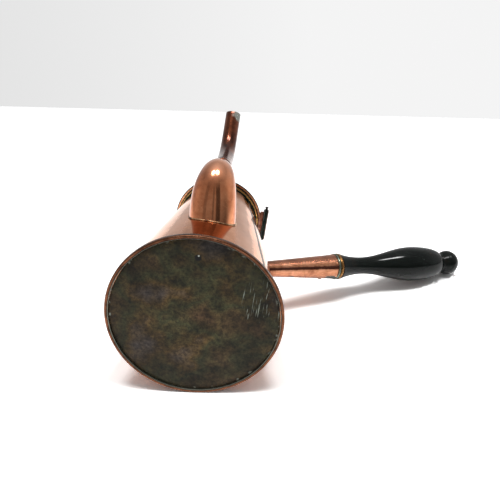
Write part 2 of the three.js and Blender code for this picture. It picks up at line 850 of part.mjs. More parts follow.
addPiece('body_wall', bodyWallGeometry(), copper);
addPiece('foot_rim', footRimGeometry(), agedCopper);
addPiece('base_plate', basePlateGeometry(), tinnedPatina);
addPiece('mouth_band', mouthBandGeometry(), agedCopper);
addPiece('spout_horn', spoutHornGeometry(), copper);
addPiece('spout_root_seam', spoutRootSeamGeometry(), solder);
addPiece('spout_tube', spoutTubeGeometry(), copper);
addPiece('spout_joint_ring', spoutJointRingGeometry(), agedCopper);
addPiece('handle_socket', socketGeometry(), copper);
addPiece('handle_root_seam', handleRootSeamGeometry(), solder);
addPiece('handle_collar', collarGeometry(), brass);
addPiece('handle_grip', gripGeometry(), ebonisedWood);
addPiece('handle_nail', nailGeometry(), iron);
addPiece('lid_flange', lidFlangeGeometry(), agedCopper);
addPiece('lid_bezel', bezelGeometry(), agedCopper);
addPiece('lid_dome', domeGeometry(), copper);
addPiece('finial_washer', washerGeometry(), brass);
addPiece('finial_knob', knobGeometry(), ebonisedWood);
addPiece('finial_stud', studGeometry(), iron);
addPiece('finial_nut', nutGeometry(), iron);
addPiece('hinge_lower_leaf', lowerLeafGeometry(), darkBrass);
addPiece('hinge_upper_leaf', upperLeafGeometry(), darkBrass);
addPiece('hinge_pin', hingePinGeometry(), iron);
lidRivetPlaces.forEach((y, i) => {
  addPiece(`lid_rivet_${i + 1}`, lidRivetGeometry(y), agedCopper);
});

export default pot;
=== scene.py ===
"""Copper coffee pot lying on a white floor, seen from below its base.

Lengths in the lists below are millimetres in the part's own frame: +Z along the body's axis to the lid,
-Y to the spout, +X to the handle. Every mesh is made in metres, with its place in its points.
"""

import json
import math

import bpy
from mathutils import Matrix, Vector

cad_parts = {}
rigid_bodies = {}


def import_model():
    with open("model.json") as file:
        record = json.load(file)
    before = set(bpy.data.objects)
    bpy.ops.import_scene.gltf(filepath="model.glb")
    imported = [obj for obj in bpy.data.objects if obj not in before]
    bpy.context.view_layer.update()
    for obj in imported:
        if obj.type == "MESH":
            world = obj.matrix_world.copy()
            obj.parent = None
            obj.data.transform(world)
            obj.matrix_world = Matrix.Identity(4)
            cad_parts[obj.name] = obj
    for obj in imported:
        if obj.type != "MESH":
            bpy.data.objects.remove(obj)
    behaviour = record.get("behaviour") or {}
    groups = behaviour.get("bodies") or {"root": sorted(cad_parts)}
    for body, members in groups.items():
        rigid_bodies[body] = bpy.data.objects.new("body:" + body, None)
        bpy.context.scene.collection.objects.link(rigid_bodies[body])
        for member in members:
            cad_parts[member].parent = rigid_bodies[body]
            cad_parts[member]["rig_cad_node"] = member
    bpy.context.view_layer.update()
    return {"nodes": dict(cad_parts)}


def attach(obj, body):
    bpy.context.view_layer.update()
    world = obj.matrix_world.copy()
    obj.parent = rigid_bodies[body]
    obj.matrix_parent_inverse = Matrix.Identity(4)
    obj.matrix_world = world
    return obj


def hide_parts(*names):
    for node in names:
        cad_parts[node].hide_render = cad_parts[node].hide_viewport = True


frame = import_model()

MM = 0.001

# The body, foot rim, base plate and mouth band, in millimetres

BODY_HEIGHT = 200
BODY_FOOT = 62.5
BODY_MOUTH = 38
BODY_WALL = 1.2
BODY_BOTTOM = 3.0
SOLDER_GAP = 0.3
STRAINER_AT = (0, -54, 65)
STRAINER_PITCH = 6
STRAINER_HOLE_RADIUS = 1.6
STRAINER_HALF_WIDTH = 11
STRAINER_HALF_HEIGHT = 13.3

FOOT_RADIUS = 65
FOOT_HEIGHT = 6.5
FOOT_BELLY = 2.75
FOOT_BORE = 62.2
PLATE_RADIUS = 61.9
PLATE_KNEE = 56.9
PLATE_FLAT = 30
PLATE_LOW = 0.7
PLATE_RISE = 0.8
PLATE_TOP = 2.7
BAND_LOW = 194.8

# The spout: the middles of the horn's cross-sections run along a Bezier curve with these control points

HORN_LINE = ((0.9, -49.5, 65), (-2.8, -86.3, 74.4), (0.4, -88, 80), (-0.3, -79.6, 117.8))
HORN_NECK = 7.5
HORN_SPREAD = 10.9
HORN_BULGE = 7.8
KNEE_AT = 0.528
KNEE_LENGTH = 0.16
KNEE_SWELL = 2.0
ROOT_SWELL = 0.8
HORN_WALL = 1.1
TUBE_FOOT = 7.7
TUBE_TAPER = 0.6
TUBE_WALL = 0.9
JOINT_RADIUS = 8.55
JOINT_SWELL = 0.5
JOINT_LENGTH = 3
JOINT_WALL = 0.7
SOLDER_SWELL = 0.9
SOLDER_GRAIN = 0.3

# The handle: distances run along its slanted line from the body's axis

HANDLE_SLOPE = math.radians(22.66)
HANDLE_HEIGHT = 77.9
SOCKET_ROOT_AT = 51.4
SOCKET_MOUTH_AT = 127
SOCKET_END = 123.8
SOCKET_ROOT = 6.6
SOCKET_MOUTH = 11.6
TANG_END = 69
TANG_INSET = 1.3
GRIP_AT = 134.5
GRIP_LENGTH = 110.5
WAIST_AT = 20
WAIST_RADIUS = 8
SHOULDER_FLARE = 2.6
BULB_AT = 79
BULB_RADIUS = 17
BULB_END = 9.8
BALL_RADIUS = 12.2
BALL_HALF_LENGTH = 11.3

# The lid

LID_BORE = 34.8
FLANGE_LOW = 200.3
FLANGE_EDGE = 0.8
FLANGE_RADIUS = 44.5
BEZEL_WALL = 1
BEZEL_LOW = 194.6
DOME_RADIUS = 36.6
DOME_WALL = 1
DOME_LOW = 202.2
DOME_SPRING = 203.6
DOME_RISE = 19.47
DOME_TOP = 222.6
STUD_BORE = 2.1
KNOB_RADIUS = 10
KNOB_HALF_HEIGHT = 6.8
KNOB_AT = 237

# The photograph's room, as directions in the part's frame: the pot lies on its +Y side

ROOM_RIGHT = Vector((0.9886, -0.1463, 0.0342))
ROOM_AWAY = Vector((-0.0484, -0.0945, 0.9944))
ROOM_UP = Vector((-0.1423, -0.9847, -0.1005))
# how far the floor lies from the body's axis, and how far behind the base its slanted edge runs
FLOOR_DROP = 64.75
FLOOR_END = 757
FLOOR_SIDE = 4000
FLOOR_EDGE_TURN = math.radians(-5)
CAMERA_AT = Vector((20.7, -211.4, -337.9))
CAMERA_WAY = Vector((0.0270, 0.3924, 0.9194))
CAMERA_UP = Vector((-0.1492, -0.9078, 0.3919))
CAMERA_LENS = 39.5
CAMERA_SENSOR = 36
LAMP_HEIGHT = 1300
LAMP_SIDE = 260
LAMP_POWER = 6.2


def body_radius(z):
    """The body's outer radius at a height."""
    return BODY_FOOT - (BODY_FOOT - BODY_MOUTH) * z / BODY_HEIGHT


def socket_radius(s):
    """The socket's outer radius at a distance along the handle's line."""
    share = (s - SOCKET_ROOT_AT) / (SOCKET_MOUTH_AT - SOCKET_ROOT_AT)
    return SOCKET_ROOT + (SOCKET_MOUTH - SOCKET_ROOT) * share


# Making shapes


def deselect():
    """Lets go of everything, because an operator acts on all that is selected."""
    bpy.ops.object.select_all(action="DESELECT")


def take_up(piece):
    """Selects one piece alone and makes it the active one."""
    deselect()
    piece.select_set(True)
    bpy.context.view_layer.objects.active = piece


def edit():
    bpy.ops.object.mode_set(mode="EDIT")


def leave_edit():
    bpy.ops.object.mode_set(mode="OBJECT")
    return bpy.context.object


def name_piece(name):
    """Names the piece that was just added, and its mesh."""
    made = bpy.context.object
    made.name = name
    made.data.name = name
    return made


def modify(piece, kind, **settings):
    """Adds a modifier with its settings and applies it."""
    take_up(piece)
    modifier = piece.modifiers.new(kind.title(), kind)
    for key, value in settings.items():
        setattr(modifier, key, value)
    bpy.ops.object.modifier_apply(modifier=modifier.name)
    return piece


def smooth(piece, degrees=35):
    """Smooth shading that keeps edges sharper than an angle."""
    take_up(piece)
    bpy.ops.object.shade_smooth_by_angle(angle=math.radians(degrees))
    return piece


def soften(piece, width, degrees=30):
    """A small bevel on every edge sharper than an angle."""
    return modify(
        piece, "BEVEL", width=width * MM, segments=2, limit_method="ANGLE",
        angle_limit=math.radians(degrees), use_clamp_overlap=True, harden_normals=False,
    )


def arc(centre, radii, start, end, steps):
    """Points [radius, height] of an elliptic arc, angles in degrees from the radius direction."""
    turns = [math.radians(start + (end - start) * i / steps) for i in range(steps + 1)]
    return [[centre[0] + radii[0] * math.cos(a), centre[1] + radii[1] * math.sin(a)] for a in turns]


def turned(name, outline, sides, ring=False):
    """A turned piece: one corner is drawn along the outline [radius, height] and spun round Z.

    A ring's outline closes on itself, and any other starts and ends on the axis.
    """
    deselect()
    bpy.ops.mesh.primitive_plane_add(size=MM)
    name_piece(name)
    edit()
    bpy.ops.mesh.select_all(action="SELECT")
    bpy.ops.mesh.merge(type="CENTER")
    points = [*outline, outline[0]] if ring else outline
    here = [0, 0]
    for number, point in enumerate(points):
        step = ((point[0] - here[0]) * MM, 0, (point[1] - here[1]) * MM)
        if number == 0:
            bpy.ops.transform.translate(value=step)
        else:
            bpy.ops.mesh.extrude_vertices_move(TRANSFORM_OT_translate={"value": step})
        here = point
    bpy.ops.mesh.select_all(action="SELECT")
    bpy.ops.mesh.remove_doubles(threshold=1e-6)
    bpy.ops.mesh.select_all(action="SELECT")
    bpy.ops.mesh.spin(steps=sides, angle=2 * math.pi, center=(0, 0, 0), axis=(0, 0, 1))
    bpy.ops.mesh.select_all(action="SELECT")
    bpy.ops.mesh.remove_doubles(threshold=1e-6)
    bpy.ops.mesh.normals_make_consistent(inside=False)
    return leave_edit()


def place(piece, turn=Matrix.Identity(4), move=(0, 0, 0)):
    """Turns and moves a piece's mesh, so that its object stays at the origin."""
    take_up(piece)
    piece.matrix_world = Matrix.Translation(Vector(move) * MM) @ turn
    bpy.ops.object.transform_apply(location=True, rotation=True, scale=True)
    return piece


def on_handle(piece):
    """Lays a piece that was turned round Z on the handle's slanted line."""
    return place(piece, Matrix.Rotation(math.pi / 2 - HANDLE_SLOPE, 4, "Y"), (0, 0, HANDLE_HEIGHT))


def cut(piece, cutter, operation="DIFFERENCE"):
    """Cuts one closed piece out of another, or keeps what lies in both. The cutter is then removed."""
    modify(piece, "BOOLEAN", object=cutter, operation=operation, solver="EXACT")
    bpy.data.objects.remove(cutter)
    return piece


def body_cone(margin):
    """A solid cone in line with the body's outer surface, grown by a margin and longer than the body."""
    low, high = -20, BODY_HEIGHT + 20
    outline = [[0, low], [body_radius(low) + margin, low], [body_radius(high) + margin, high], [0, high]]
    return turned("cone", outline, 192)


def bezier(points, t):
    """A point of the curve that a row of control points draws."""
    points = [Vector(p) for p in points]
    while len(points) > 1:
        points = [a.lerp(b, t) for a, b in zip(points, points[1:])]
    return points[0]


def bezier_direction(points, t):
    """Which way that curve runs at a point."""
    steps = [Vector(b) - Vector(a) for a, b in zip(points, points[1:])]
    return bezier(steps, t).normalized()


def turn_ring(angle, middle):
    """Turns what is selected about the X direction through a point."""
    # with no window, rotate turns the other way
    if abs(angle) > 1e-9:
        bpy.ops.transform.rotate(value=-angle, orient_axis="X", center_override=middle)


def run_along(name, points, half_width, half_depth, steps, sides):
    """An open tube: an oval ring is drawn out along a curve, moved, turned and resized at each step."""
    deselect()
    bpy.ops.mesh.primitive_circle_add(vertices=sides, radius=MM, fill_type="NOTHING")
    name_piece(name)
    edit()
    bpy.ops.mesh.select_all(action="SELECT")
    place_now, tilt_now, size_now = Vector((0, 0, 0)), 0.0, (1.0, 1.0)
    for i in range(steps + 1):
        t = i / steps
        centre, along = bezier(points, t), bezier_direction(points, t)
        tilt = math.atan2(-along.y, along.z)
        size = (half_width(t), half_depth(t))
        if i:
            bpy.ops.mesh.extrude_edges_move()
        bpy.ops.transform.translate(value=(centre - place_now) * MM)
        middle = centre * MM
        # the resize is made with the ring level, because it works along the frame's own axes
        turn_ring(-tilt_now, middle)
        bpy.ops.transform.resize(
            value=(size[0] / size_now[0], size[1] / size_now[1], 1), center_override=middle,
        )
        turn_ring(tilt, middle)
        place_now, tilt_now, size_now = centre, tilt, size
    bpy.ops.mesh.select_all(action="SELECT")
    bpy.ops.mesh.normals_make_consistent(inside=False)
    return leave_edit()


def hollow(piece, wall):
    """Gives an open skin its wall, inwards."""
    return modify(piece, "SOLIDIFY", thickness=wall * MM, offset=-1, use_even_offset=True)


def melt(piece):
    """Rounds a crisp band off as solder does when it runs."""
    modify(piece, "REMESH", mode="VOXEL", voxel_size=SOLDER_GRAIN * MM)
    modify(piece, "SMOOTH", factor=0.6, iterations=7)
    return smooth(piece, 60)


# Materials: what they share


def linear(text):
    """An sRGB hex colour as the linear numbers that a shader takes."""
    parts = [int(text[i : i + 2], 16) / 255 for i in (1, 3, 5)]
    return [*(p / 12.92 if p <= 0.04045 else ((p + 0.055) / 1.055) ** 2.4 for p in parts), 1]


def add(tree, kind, links=None, stops=(), **options):
    """Adds a node: options are its own settings, links its inputs, stops the colours of a ramp."""
    made = tree.nodes.new(kind)
    for key, value in options.items():
        setattr(made, key, value)
    for key, value in (links or {}).items():
        if isinstance(value, bpy.types.NodeSocket):
            tree.links.new(value, made.inputs[key])
        else:
            made.inputs[key].default_value = value
    if stops:
        elements = made.color_ramp.elements
        middle = [elements.new(position) for position, _ in stops[1:-1]]
        ordered = [elements[0], *middle, elements[len(elements) - 1]]
        for element, (position, colour) in zip(ordered, stops):
            element.position = position
            element.color = linear(colour) if isinstance(colour, str) else (colour, colour, colour, 1)
    return made


def start_material(name):
    """An empty material with its surface and output, and the coordinates of the part's own frame."""
    material = bpy.data.materials.new(name)
    material.use_nodes = True
    tree = material.node_tree
    tree.nodes.clear()
    surface = add(tree, "ShaderNodeBsdfPrincipled")
    add(tree, "ShaderNodeOutputMaterial", {"Surface": surface.outputs[0]})
    here = add(tree, "ShaderNodeTexCoord").outputs["Object"]
    return material, tree, surface, here


def per_mm(size):
    """A pattern's scale on coordinates in metres, from its real size in millimetres."""
    return 1000 / size


def from_axis(tree, here):
    """How far a point lies from the body's axis, in millimetres."""
    flat = add(tree, "ShaderNodeVectorMath", {0: here, 1: (1000, 1000, 0)}, operation="MULTIPLY")
    return add(tree, "ShaderNodeVectorMath", {0: flat.outputs[0]}, operation="LENGTH").outputs["Value"]


def outward(tree, here):
    """How far a point lies out towards the handle's side, in millimetres."""
    far = add(tree, "ShaderNodeVectorMath", {0: here, 1: (1000, 0, 0)}, operation="DOT_PRODUCT")
    return far.outputs["Value"]


def down_handle(tree, here):
    """How far a point lies along the handle's line, in millimetres."""
    way = Vector((math.cos(HANDLE_SLOPE), 0, math.sin(HANDLE_SLOPE))) * 1000
    far = add(tree, "ShaderNodeVectorMath", {0: here, 1: way}, operation="DOT_PRODUCT")
    start = HANDLE_HEIGHT * math.sin(HANDLE_SLOPE)
    return add(tree, "ShaderNodeMath", {0: far.outputs["Value"], 1: start}, operation="SUBTRACT").outputs[0]


def bands(tree, distance, wander, stops):
    """Rings of colour at distances in millimetres, whose borders wander by under 0.5 mm with a pattern."""
    low, high = stops[0][0], stops[-1][0]
    shift = add(tree, "ShaderNodeMath", {0: wander, 1: 0.5}, operation="SUBTRACT")
    moved = add(tree, "ShaderNodeMath", {0: shift.outputs[0], 1: 0.9, 2: distance}, operation="MULTIPLY_ADD")
    share = add(tree, "ShaderNodeMapRange", {"Value": moved.outputs[0], "From Min": low, "From Max": high})
    placed = [((at - low) / (high - low), colour) for at, colour in stops]
    return add(tree, "ShaderNodeValToRGB", {"Fac": share.outputs[0]}, stops=placed).outputs[0]


def spot_mask(tree, here, centre, radius, wander, soft=0.0):
    """One at a place on the object in millimetres, fading to nought at a ragged edge."""
    reach = radius * MM
    off = add(tree, "ShaderNodeVectorMath", {0: here, 1: Vector(centre) * MM}, operation="DISTANCE")
    ragged = add(
        tree, "ShaderNodeMath", {0: wander, 1: reach * 0.9, 2: off.outputs["Value"]},
        operation="MULTIPLY_ADD",
    )
    return add(
        tree, "ShaderNodeMapRange",
        {"Value": ragged.outputs[0], "From Min": reach * (1.6 + soft), "From Max": reach * (1.2 - soft)},
        interpolation_type="SMOOTHSTEP",
    ).outputs[0]


def line_down_mask(tree, here, line, spread, wander):
    """One along a straight line down a cone, with ragged edges.

    The line is a point of the cone's axis, the way that the line faces and the way across it. The spread is
    the share of the cone's radius that it takes up on each side.
    """
    start, *ways = line
    moved = add(tree, "ShaderNodeVectorMath", {0: here, 1: Vector(start) * -MM}, operation="ADD").outputs[0]
    out, side = (
        add(tree, "ShaderNodeVectorMath", {0: moved, 1: way}, operation="DOT_PRODUCT").outputs["Value"]
        for way in ways
    )
    share = add(tree, "ShaderNodeMath", {0: side, 1: out}, operation="DIVIDE")
    off = add(tree, "ShaderNodeMath", {0: share.outputs[0]}, operation="ABSOLUTE")
    ragged = add(
        tree, "ShaderNodeMath", {0: wander, 1: spread * 2, 2: off.outputs[0]}, operation="MULTIPLY_ADD",
    )
    close = add(
        tree, "ShaderNodeMapRange",
        {"Value": ragged.outputs[0], "From Min": spread * 2.45, "From Max": spread * 1.75},
        interpolation_type="SMOOTHSTEP",
    )
    # the far side of the cone has the same share, and stays clear
    front = add(tree, "ShaderNodeMath", {0: out, 1: 0.0}, operation="GREATER_THAN")
    both = add(tree, "ShaderNodeMath", {0: close.outputs[0], 1: front.outputs[0]}, operation="MULTIPLY")
    return both.outputs[0]


def down_body(degrees):
    """The line down the body at an angle round it, as line_down_mask takes it."""
    turn = math.radians(degrees)
    return (0, 0, 0), (math.cos(turn), math.sin(turn), 0), (-math.sin(turn), math.cos(turn), 0)


def down_socket(degrees):
    """The line down the handle's socket at an angle from its underside towards its +Y side."""
    turn, slope = math.radians(degrees), HANDLE_SLOPE
    out = (math.sin(slope) * math.cos(turn), math.sin(turn), -math.cos(slope) * math.cos(turn))
    side = (-math.sin(slope) * math.sin(turn), math.cos(turn), math.cos(slope) * math.sin(turn))
    return (0, 0, HANDLE_HEIGHT), out, side


# Materials: the kinds of surface


def sheet_copper(
    name, bright, worn, dull, rough=(0.07, 0.16), wave=0.25, mark=0.0015, patch=34,
    stains_and_sheen=(), seams_and_dark_lines=(), marked=(0.35, 0.5), coat=0.2, edge="#ffffff",
):
    """Sheet copper, raised with a hammer and polished: warm reflections that waver, and thin brown tarnish.

    Marks are given as stains and sheen, (centre, radius, colour, strength, softness), and as seams and dark
    lines, (line, spread, colour, strength), with lengths in millimetres. Most stains are real, but the horn's
    pale one is a painted sheen, and the socket's dark line is a painted reflection. All marks are dull, most
    are dark, and marked is how metallic and how rough they leave the copper. The edge is what a glancing
    reflection is tinted with.
    """
    material, tree, surface, here = start_material(name)
    surface.inputs["Metallic"].default_value = 1
    cloud = add(
        tree, "ShaderNodeTexNoise", {"Vector": here, "Scale": per_mm(patch), "Detail": 5, "Roughness": 0.62},
    )
    speck = add(
        tree, "ShaderNodeTexNoise", {"Vector": here, "Scale": per_mm(3.2), "Detail": 4, "Roughness": 0.6},
    )
    blend = add(tree, "ShaderNodeMix", {0: 0.25, 2: cloud.outputs[0], 3: speck.outputs[0]})
    colour = add(
        tree, "ShaderNodeValToRGB", {"Fac": blend.outputs[0]},
        stops=[(0.36, dull), (0.5, worn), (0.62, bright)],
    )
    marks = [
        (spot_mask(tree, here, centre, radius, speck.outputs[0], soft), mark_colour, strength)
        for centre, radius, mark_colour, strength, soft in stains_and_sheen
    ]
    marks += [
        (line_down_mask(tree, here, line, spread, blend.outputs[0]), mark_colour, strength)
        for line, spread, mark_colour, strength in seams_and_dark_lines
    ]
    tint, dirt_and_sheen = colour.outputs[0], None
    for shape, mark_colour, strength in marks:
        where = add(tree, "ShaderNodeMath", {0: shape, 1: strength}, operation="MULTIPLY").outputs[0]
        tint = add(tree, "ShaderNodeMix", {0: where, 6: tint, 7: linear(mark_colour)}, data_type="RGBA").outputs[2]
        dirt_and_sheen = add(tree, "ShaderNodeMath", {0: where, 1: dirt_and_sheen or 0.0}, operation="MAXIMUM").outputs[0]
    tree.links.new(tint, surface.inputs["Base Color"])
    # a breath of polish left on the metal keeps the lamps' highlights pale
    surface.inputs["Coat Weight"].default_value = coat
    surface.inputs["Coat Roughness"].default_value = 0.1
    surface.inputs["Specular Tint"].default_value = linear(edge)
    rub = add(
        tree, "ShaderNodeTexNoise", {"Vector": here, "Scale": per_mm(11), "Detail": 6, "Roughness": 0.66},
    )
    gloss = add(
        tree, "ShaderNodeMapRange",
        {"Value": rub.outputs[0], "From Min": 0.3, "From Max": 0.7, "To Min": rough[0], "To Max": rough[1]},
    )
    if dirt_and_sheen:
        bare = add(tree, "ShaderNodeMapRange", {"Value": dirt_and_sheen, "To Min": 1, "To Max": marked[0]})
        tree.links.new(bare.outputs[0], surface.inputs["Metallic"])
        gloss = add(tree, "ShaderNodeMix", {0: dirt_and_sheen, 2: gloss.outputs[0], 3: marked[1]})
    tree.links.new(gloss.outputs[0], surface.inputs["Roughness"])
    # hammer marks of about 9 mm on long waves of 40 mm, and the polishing wheel's scratches, which are far
    # under 0.1 mm wide and are drawn as 0.7 mm so that they still soften the highlights
    waves = add(tree, "ShaderNodeTexNoise", {"Vector": here, "Scale": per_mm(40), "Detail": 2})
    facets = add(
        tree, "ShaderNodeTexVoronoi", {"Vector": here, "Scale": per_mm(9), "Smoothness": 1},
        feature="SMOOTH_F1",
    )
    scratch = add(tree, "ShaderNodeTexNoise", {"Vector": here, "Scale": per_mm(0.7), "Detail": 3})
    relief = None
    for pattern, height in ((waves, wave), (facets, 0.08 * wave), (scratch, mark)):
        settings = {"Height": pattern.outputs[0], "Distance": height * MM, "Strength": 1}
        if relief:
            settings["Normal"] = relief.outputs[0]
        relief = add(tree, "ShaderNodeBump", settings)
    tree.links.new(relief.outputs[0], surface.inputs["Normal"])
    return material


def plain_metal(name, light, dark, rough, spot, metallic=1.0, between=(0.36, 0.64)):
    """An old metal surface of two shades in small patches, with roughness and pits that follow them."""
    material, tree, surface, here = start_material(name)
    surface.inputs["Metallic"].default_value = metallic
    cloud = add(
        tree, "ShaderNodeTexNoise", {"Vector": here, "Scale": per_mm(spot), "Detail": 6, "Roughness": 0.65},
    )
    colour = add(
        tree, "ShaderNodeValToRGB", {"Fac": cloud.outputs[0]},
        stops=[(between[0], dark), (between[1], light)],
    )
    tree.links.new(colour.outputs[0], surface.inputs["Base Color"])
    gloss = add(
        tree, "ShaderNodeMapRange",
        {
            "Value": cloud.outputs[0], "From Min": 0.35, "From Max": 0.65,
            "To Min": rough[1], "To Max": rough[0],
        },
    )
    tree.links.new(gloss.outputs[0], surface.inputs["Roughness"])
    pits = add(tree, "ShaderNodeTexNoise", {"Vector": here, "Scale": per_mm(spot / 3), "Detail": 5})
    relief = add(tree, "ShaderNodeBump", {"Height": pits.outputs[0], "Distance": 0.02 * MM, "Strength": 1})
    tree.links.new(relief.outputs[0], surface.inputs["Normal"])
    return material


def banded_metal(name, distance_from, stops, rough, spot=3):
    """Old metal ringed with colour: dark in grooves, bright on edges; partly dirt, verdigris and wear, partly
    painted shade, highlights and reflection.
    """
    material, tree, surface, here = start_material(name)
    surface.inputs["Metallic"].default_value = 0.92
    cloud = add(
        tree, "ShaderNodeTexNoise", {"Vector": here, "Scale": per_mm(spot), "Detail": 5, "Roughness": 0.65},
    )
    colour = bands(tree, distance_from(tree, here), cloud.outputs[0], stops)
    shade = add(
        tree, "ShaderNodeMapRange",
        {"Value": cloud.outputs[0], "From Min": 0.38, "From Max": 0.58, "To Min": 0.45, "To Max": 1},
    )
    worn = add(
        tree, "ShaderNodeMix", {0: 1.0, 6: colour, 7: shade.outputs[0]},
        data_type="RGBA", blend_type="MULTIPLY",
    )
    tree.links.new(worn.outputs[2], surface.inputs["Base Color"])
    gloss = add(
        tree, "ShaderNodeMapRange",
        {
            "Value": cloud.outputs[0], "From Min": 0.35, "From Max": 0.65,
            "To Min": rough[1], "To Max": rough[0],
        },
    )
    tree.links.new(gloss.outputs[0], surface.inputs["Roughness"])
    return material


def patinated_base(name):
    """Copper that has stood on stoves for years: a thin dull skin of olive, brown and violet-grey clouds."""
    material, tree, surface, here = start_material(name)
    surface.inputs["Metallic"].default_value = 0.3
    surface.inputs["Specular IOR Level"].default_value = 0.3
    # the clouds are moved off the axis, where the pattern's own grid would show as creases
    beside = add(tree, "ShaderNodeMapping", {"Vector": here, "Location": (0.137, 0.221, 0.0537)}).outputs[0]
    wide = add(
        tree, "ShaderNodeTexNoise", {"Vector": beside, "Scale": per_mm(42), "Detail": 3, "Roughness": 0.5},
    )
    hue = add(
        tree, "ShaderNodeValToRGB", {"Fac": wide.outputs[0]},
        stops=[(0.3, "#503727"), (0.42, "#544429"), (0.5, "#434329"), (0.58, "#5f4a29"), (0.7, "#564e4c")],
    )
    fine = add(
        tree, "ShaderNodeTexNoise", {"Vector": beside, "Scale": per_mm(12), "Detail": 8, "Roughness": 0.72},
    )
    shade = add(
        tree, "ShaderNodeValToRGB", {"Fac": fine.outputs[0]},
        stops=[(0.36, 0.16), (0.48, 0.5), (0.56, 0.68), (0.66, 1.0)],
    )
    grain = add(
        tree, "ShaderNodeTexNoise", {"Vector": beside, "Scale": per_mm(2.4), "Detail": 4, "Roughness": 0.7},
    )
    rub = add(
        tree, "ShaderNodeValToRGB", {"Fac": grain.outputs[0]}, stops=[(0.38, 0.42), (0.5, 0.85), (0.6, 1.15)],
    )
    # the middle is a little paler, and it grows darker towards the rim
    middle = add(
        tree, "ShaderNodeMapRange",
        {"Value": from_axis(tree, here), "From Min": 8, "From Max": 56, "To Min": 1.55, "To Max": 0.85},
        interpolation_type="SMOOTHSTEP",
    )
    skin = hue.outputs[0]
    for layer in (shade, rub, middle):
        darker = {0: 1.0, 6: skin, 7: layer.outputs[0]}
        skin = add(tree, "ShaderNodeMix", darker, data_type="RGBA", blend_type="MULTIPLY").outputs[2]
    # bright scratches where the plate has been dragged, in one stroked patch beside the handle: they are
    # about 0.3 mm wide, and drawn as 0.9 mm so that they show
    stroked = add(
        tree, "ShaderNodeMapping",
        {"Vector": here, "Rotation": (0, 0, math.radians(-22)), "Scale": (1, 0.07, 1)},
    )
    streaks = add(
        tree, "ShaderNodeTexNoise", {"Vector": stroked.outputs[0], "Scale": per_mm(0.9), "Detail": 2},
    )
    line = add(tree, "ShaderNodeMapRange", {"Value": streaks.outputs[0], "From Min": 0.61, "From Max": 0.7})
    patch = spot_mask(tree, here, (47, -21, 1), 17, fine.outputs[0])
    scratched = add(tree, "ShaderNodeMath", {0: line.outputs[0], 1: patch}, operation="MULTIPLY")
    # solder that has run along the rim's corner and dried whitish green, in broken pieces
    run = bands(tree, from_axis(tree, here), fine.outputs[0], [(57, 0.0), (60, 0.0), (60.9, 1.0), (62, 1.0)])
    broken = add(tree, "ShaderNodeTexNoise", {"Vector": beside, "Scale": per_mm(7), "Detail": 3})
    pieces = add(tree, "ShaderNodeMapRange", {"Value": broken.outputs[0], "From Min": 0.6, "From Max": 0.68})
    crust = add(tree, "ShaderNodeMath", {0: run, 1: pieces.outputs[0]}, operation="MULTIPLY")
    pale = add(tree, "ShaderNodeMath", {0: scratched.outputs[0], 1: crust.outputs[0]}, operation="MAXIMUM")
    # a small dent near the spout's side, drawn only in colour: a dark spot of painted shade with a painted
    # glint on its edge
    painted_dent_shade = spot_mask(tree, here, (-2.6, -48.2, 1), 2.6, fine.outputs[0])
    edge = spot_mask(tree, here, (-2.2, -49.6, 1), 0.8, fine.outputs[0])
    for where, colour in ((pale.outputs[0], "#9aa094"), (painted_dent_shade, "#0c0b09"), (edge, "#b9bdb4")):
        skin = add(tree, "ShaderNodeMix", {0: where, 6: skin, 7: linear(colour)}, data_type="RGBA").outputs[2]
    tree.links.new(skin, surface.inputs["Base Color"])
    gloss = add(
        tree, "ShaderNodeMapRange",
        {"Value": fine.outputs[0], "From Min": 0.35, "From Max": 0.65, "To Min": 0.6, "To Max": 0.45},
    )
    tree.links.new(gloss.outputs[0], surface.inputs["Roughness"])
    relief = add(tree, "ShaderNodeBump", {"Height": fine.outputs[0], "Distance": 0.12 * MM, "Strength": 1})
    tree.links.new(relief.outputs[0], surface.inputs["Normal"])
    return material


def turned_wood(name):
    """Beech stained black and polished: deep black with a clear highlight, brown where hands rub it."""
    material, tree, surface, here = start_material(name)
    surface.inputs["Specular IOR Level"].default_value = 0.13
    cloud = add(
        tree, "ShaderNodeTexNoise", {"Vector": here, "Scale": per_mm(18), "Detail": 6, "Roughness": 0.6},
    )
    colour = add(
        tree, "ShaderNodeValToRGB", {"Fac": cloud.outputs[0]},
        stops=[(0.3, "#0a0e0d"), (0.6, "#101412"), (0.78, "#241811")],
    )
    tree.links.new(colour.outputs[0], surface.inputs["Base Color"])
    gloss = add(
        tree, "ShaderNodeMapRange",
        {"Value": cloud.outputs[0], "From Min": 0.3, "From Max": 0.7, "To Min": 0.05, "To Max": 0.11},
    )
    tree.links.new(gloss.outputs[0], surface.inputs["Roughness"])
    # pores of 0.1 mm that run along the handle, drawn as 0.9 mm
    lengthwise = add(
        tree, "ShaderNodeMapping",
        {"Vector": here, "Rotation": (0, HANDLE_SLOPE - math.pi / 2, 0), "Scale": (1, 1, 0.06)},
    )
    grain = add(
        tree, "ShaderNodeTexNoise", {"Vector": lengthwise.outputs[0], "Scale": per_mm(0.9), "Detail": 4},
    )
    relief = add(tree, "ShaderNodeBump", {"Height": grain.outputs[0], "Distance": 0.003 * MM, "Strength": 1})
    tree.links.new(relief.outputs[0], surface.inputs["Normal"])
    return material


# Materials: this pot's own

# polished sheet copper on the dome: clear warm reflections
POLISHED_COPPER = sheet_copper("polished_sheet_copper", "#cf8f6c", "#bb7852", "#8f5233")
# the horn's round front carries a pale, dull patch: a painted sheen that stands in for the lamps' soft glow
# over its top
HORN_COPPER = sheet_copper(
    "horn_sheet_copper", "#d88d62", "#c6774d", "#98522f",
    stains_and_sheen=(((-1, -97, 78), 14, "#e0ae90", 0.45, 0.8),), marked=(0.55, 0.2), coat=0.4,
)
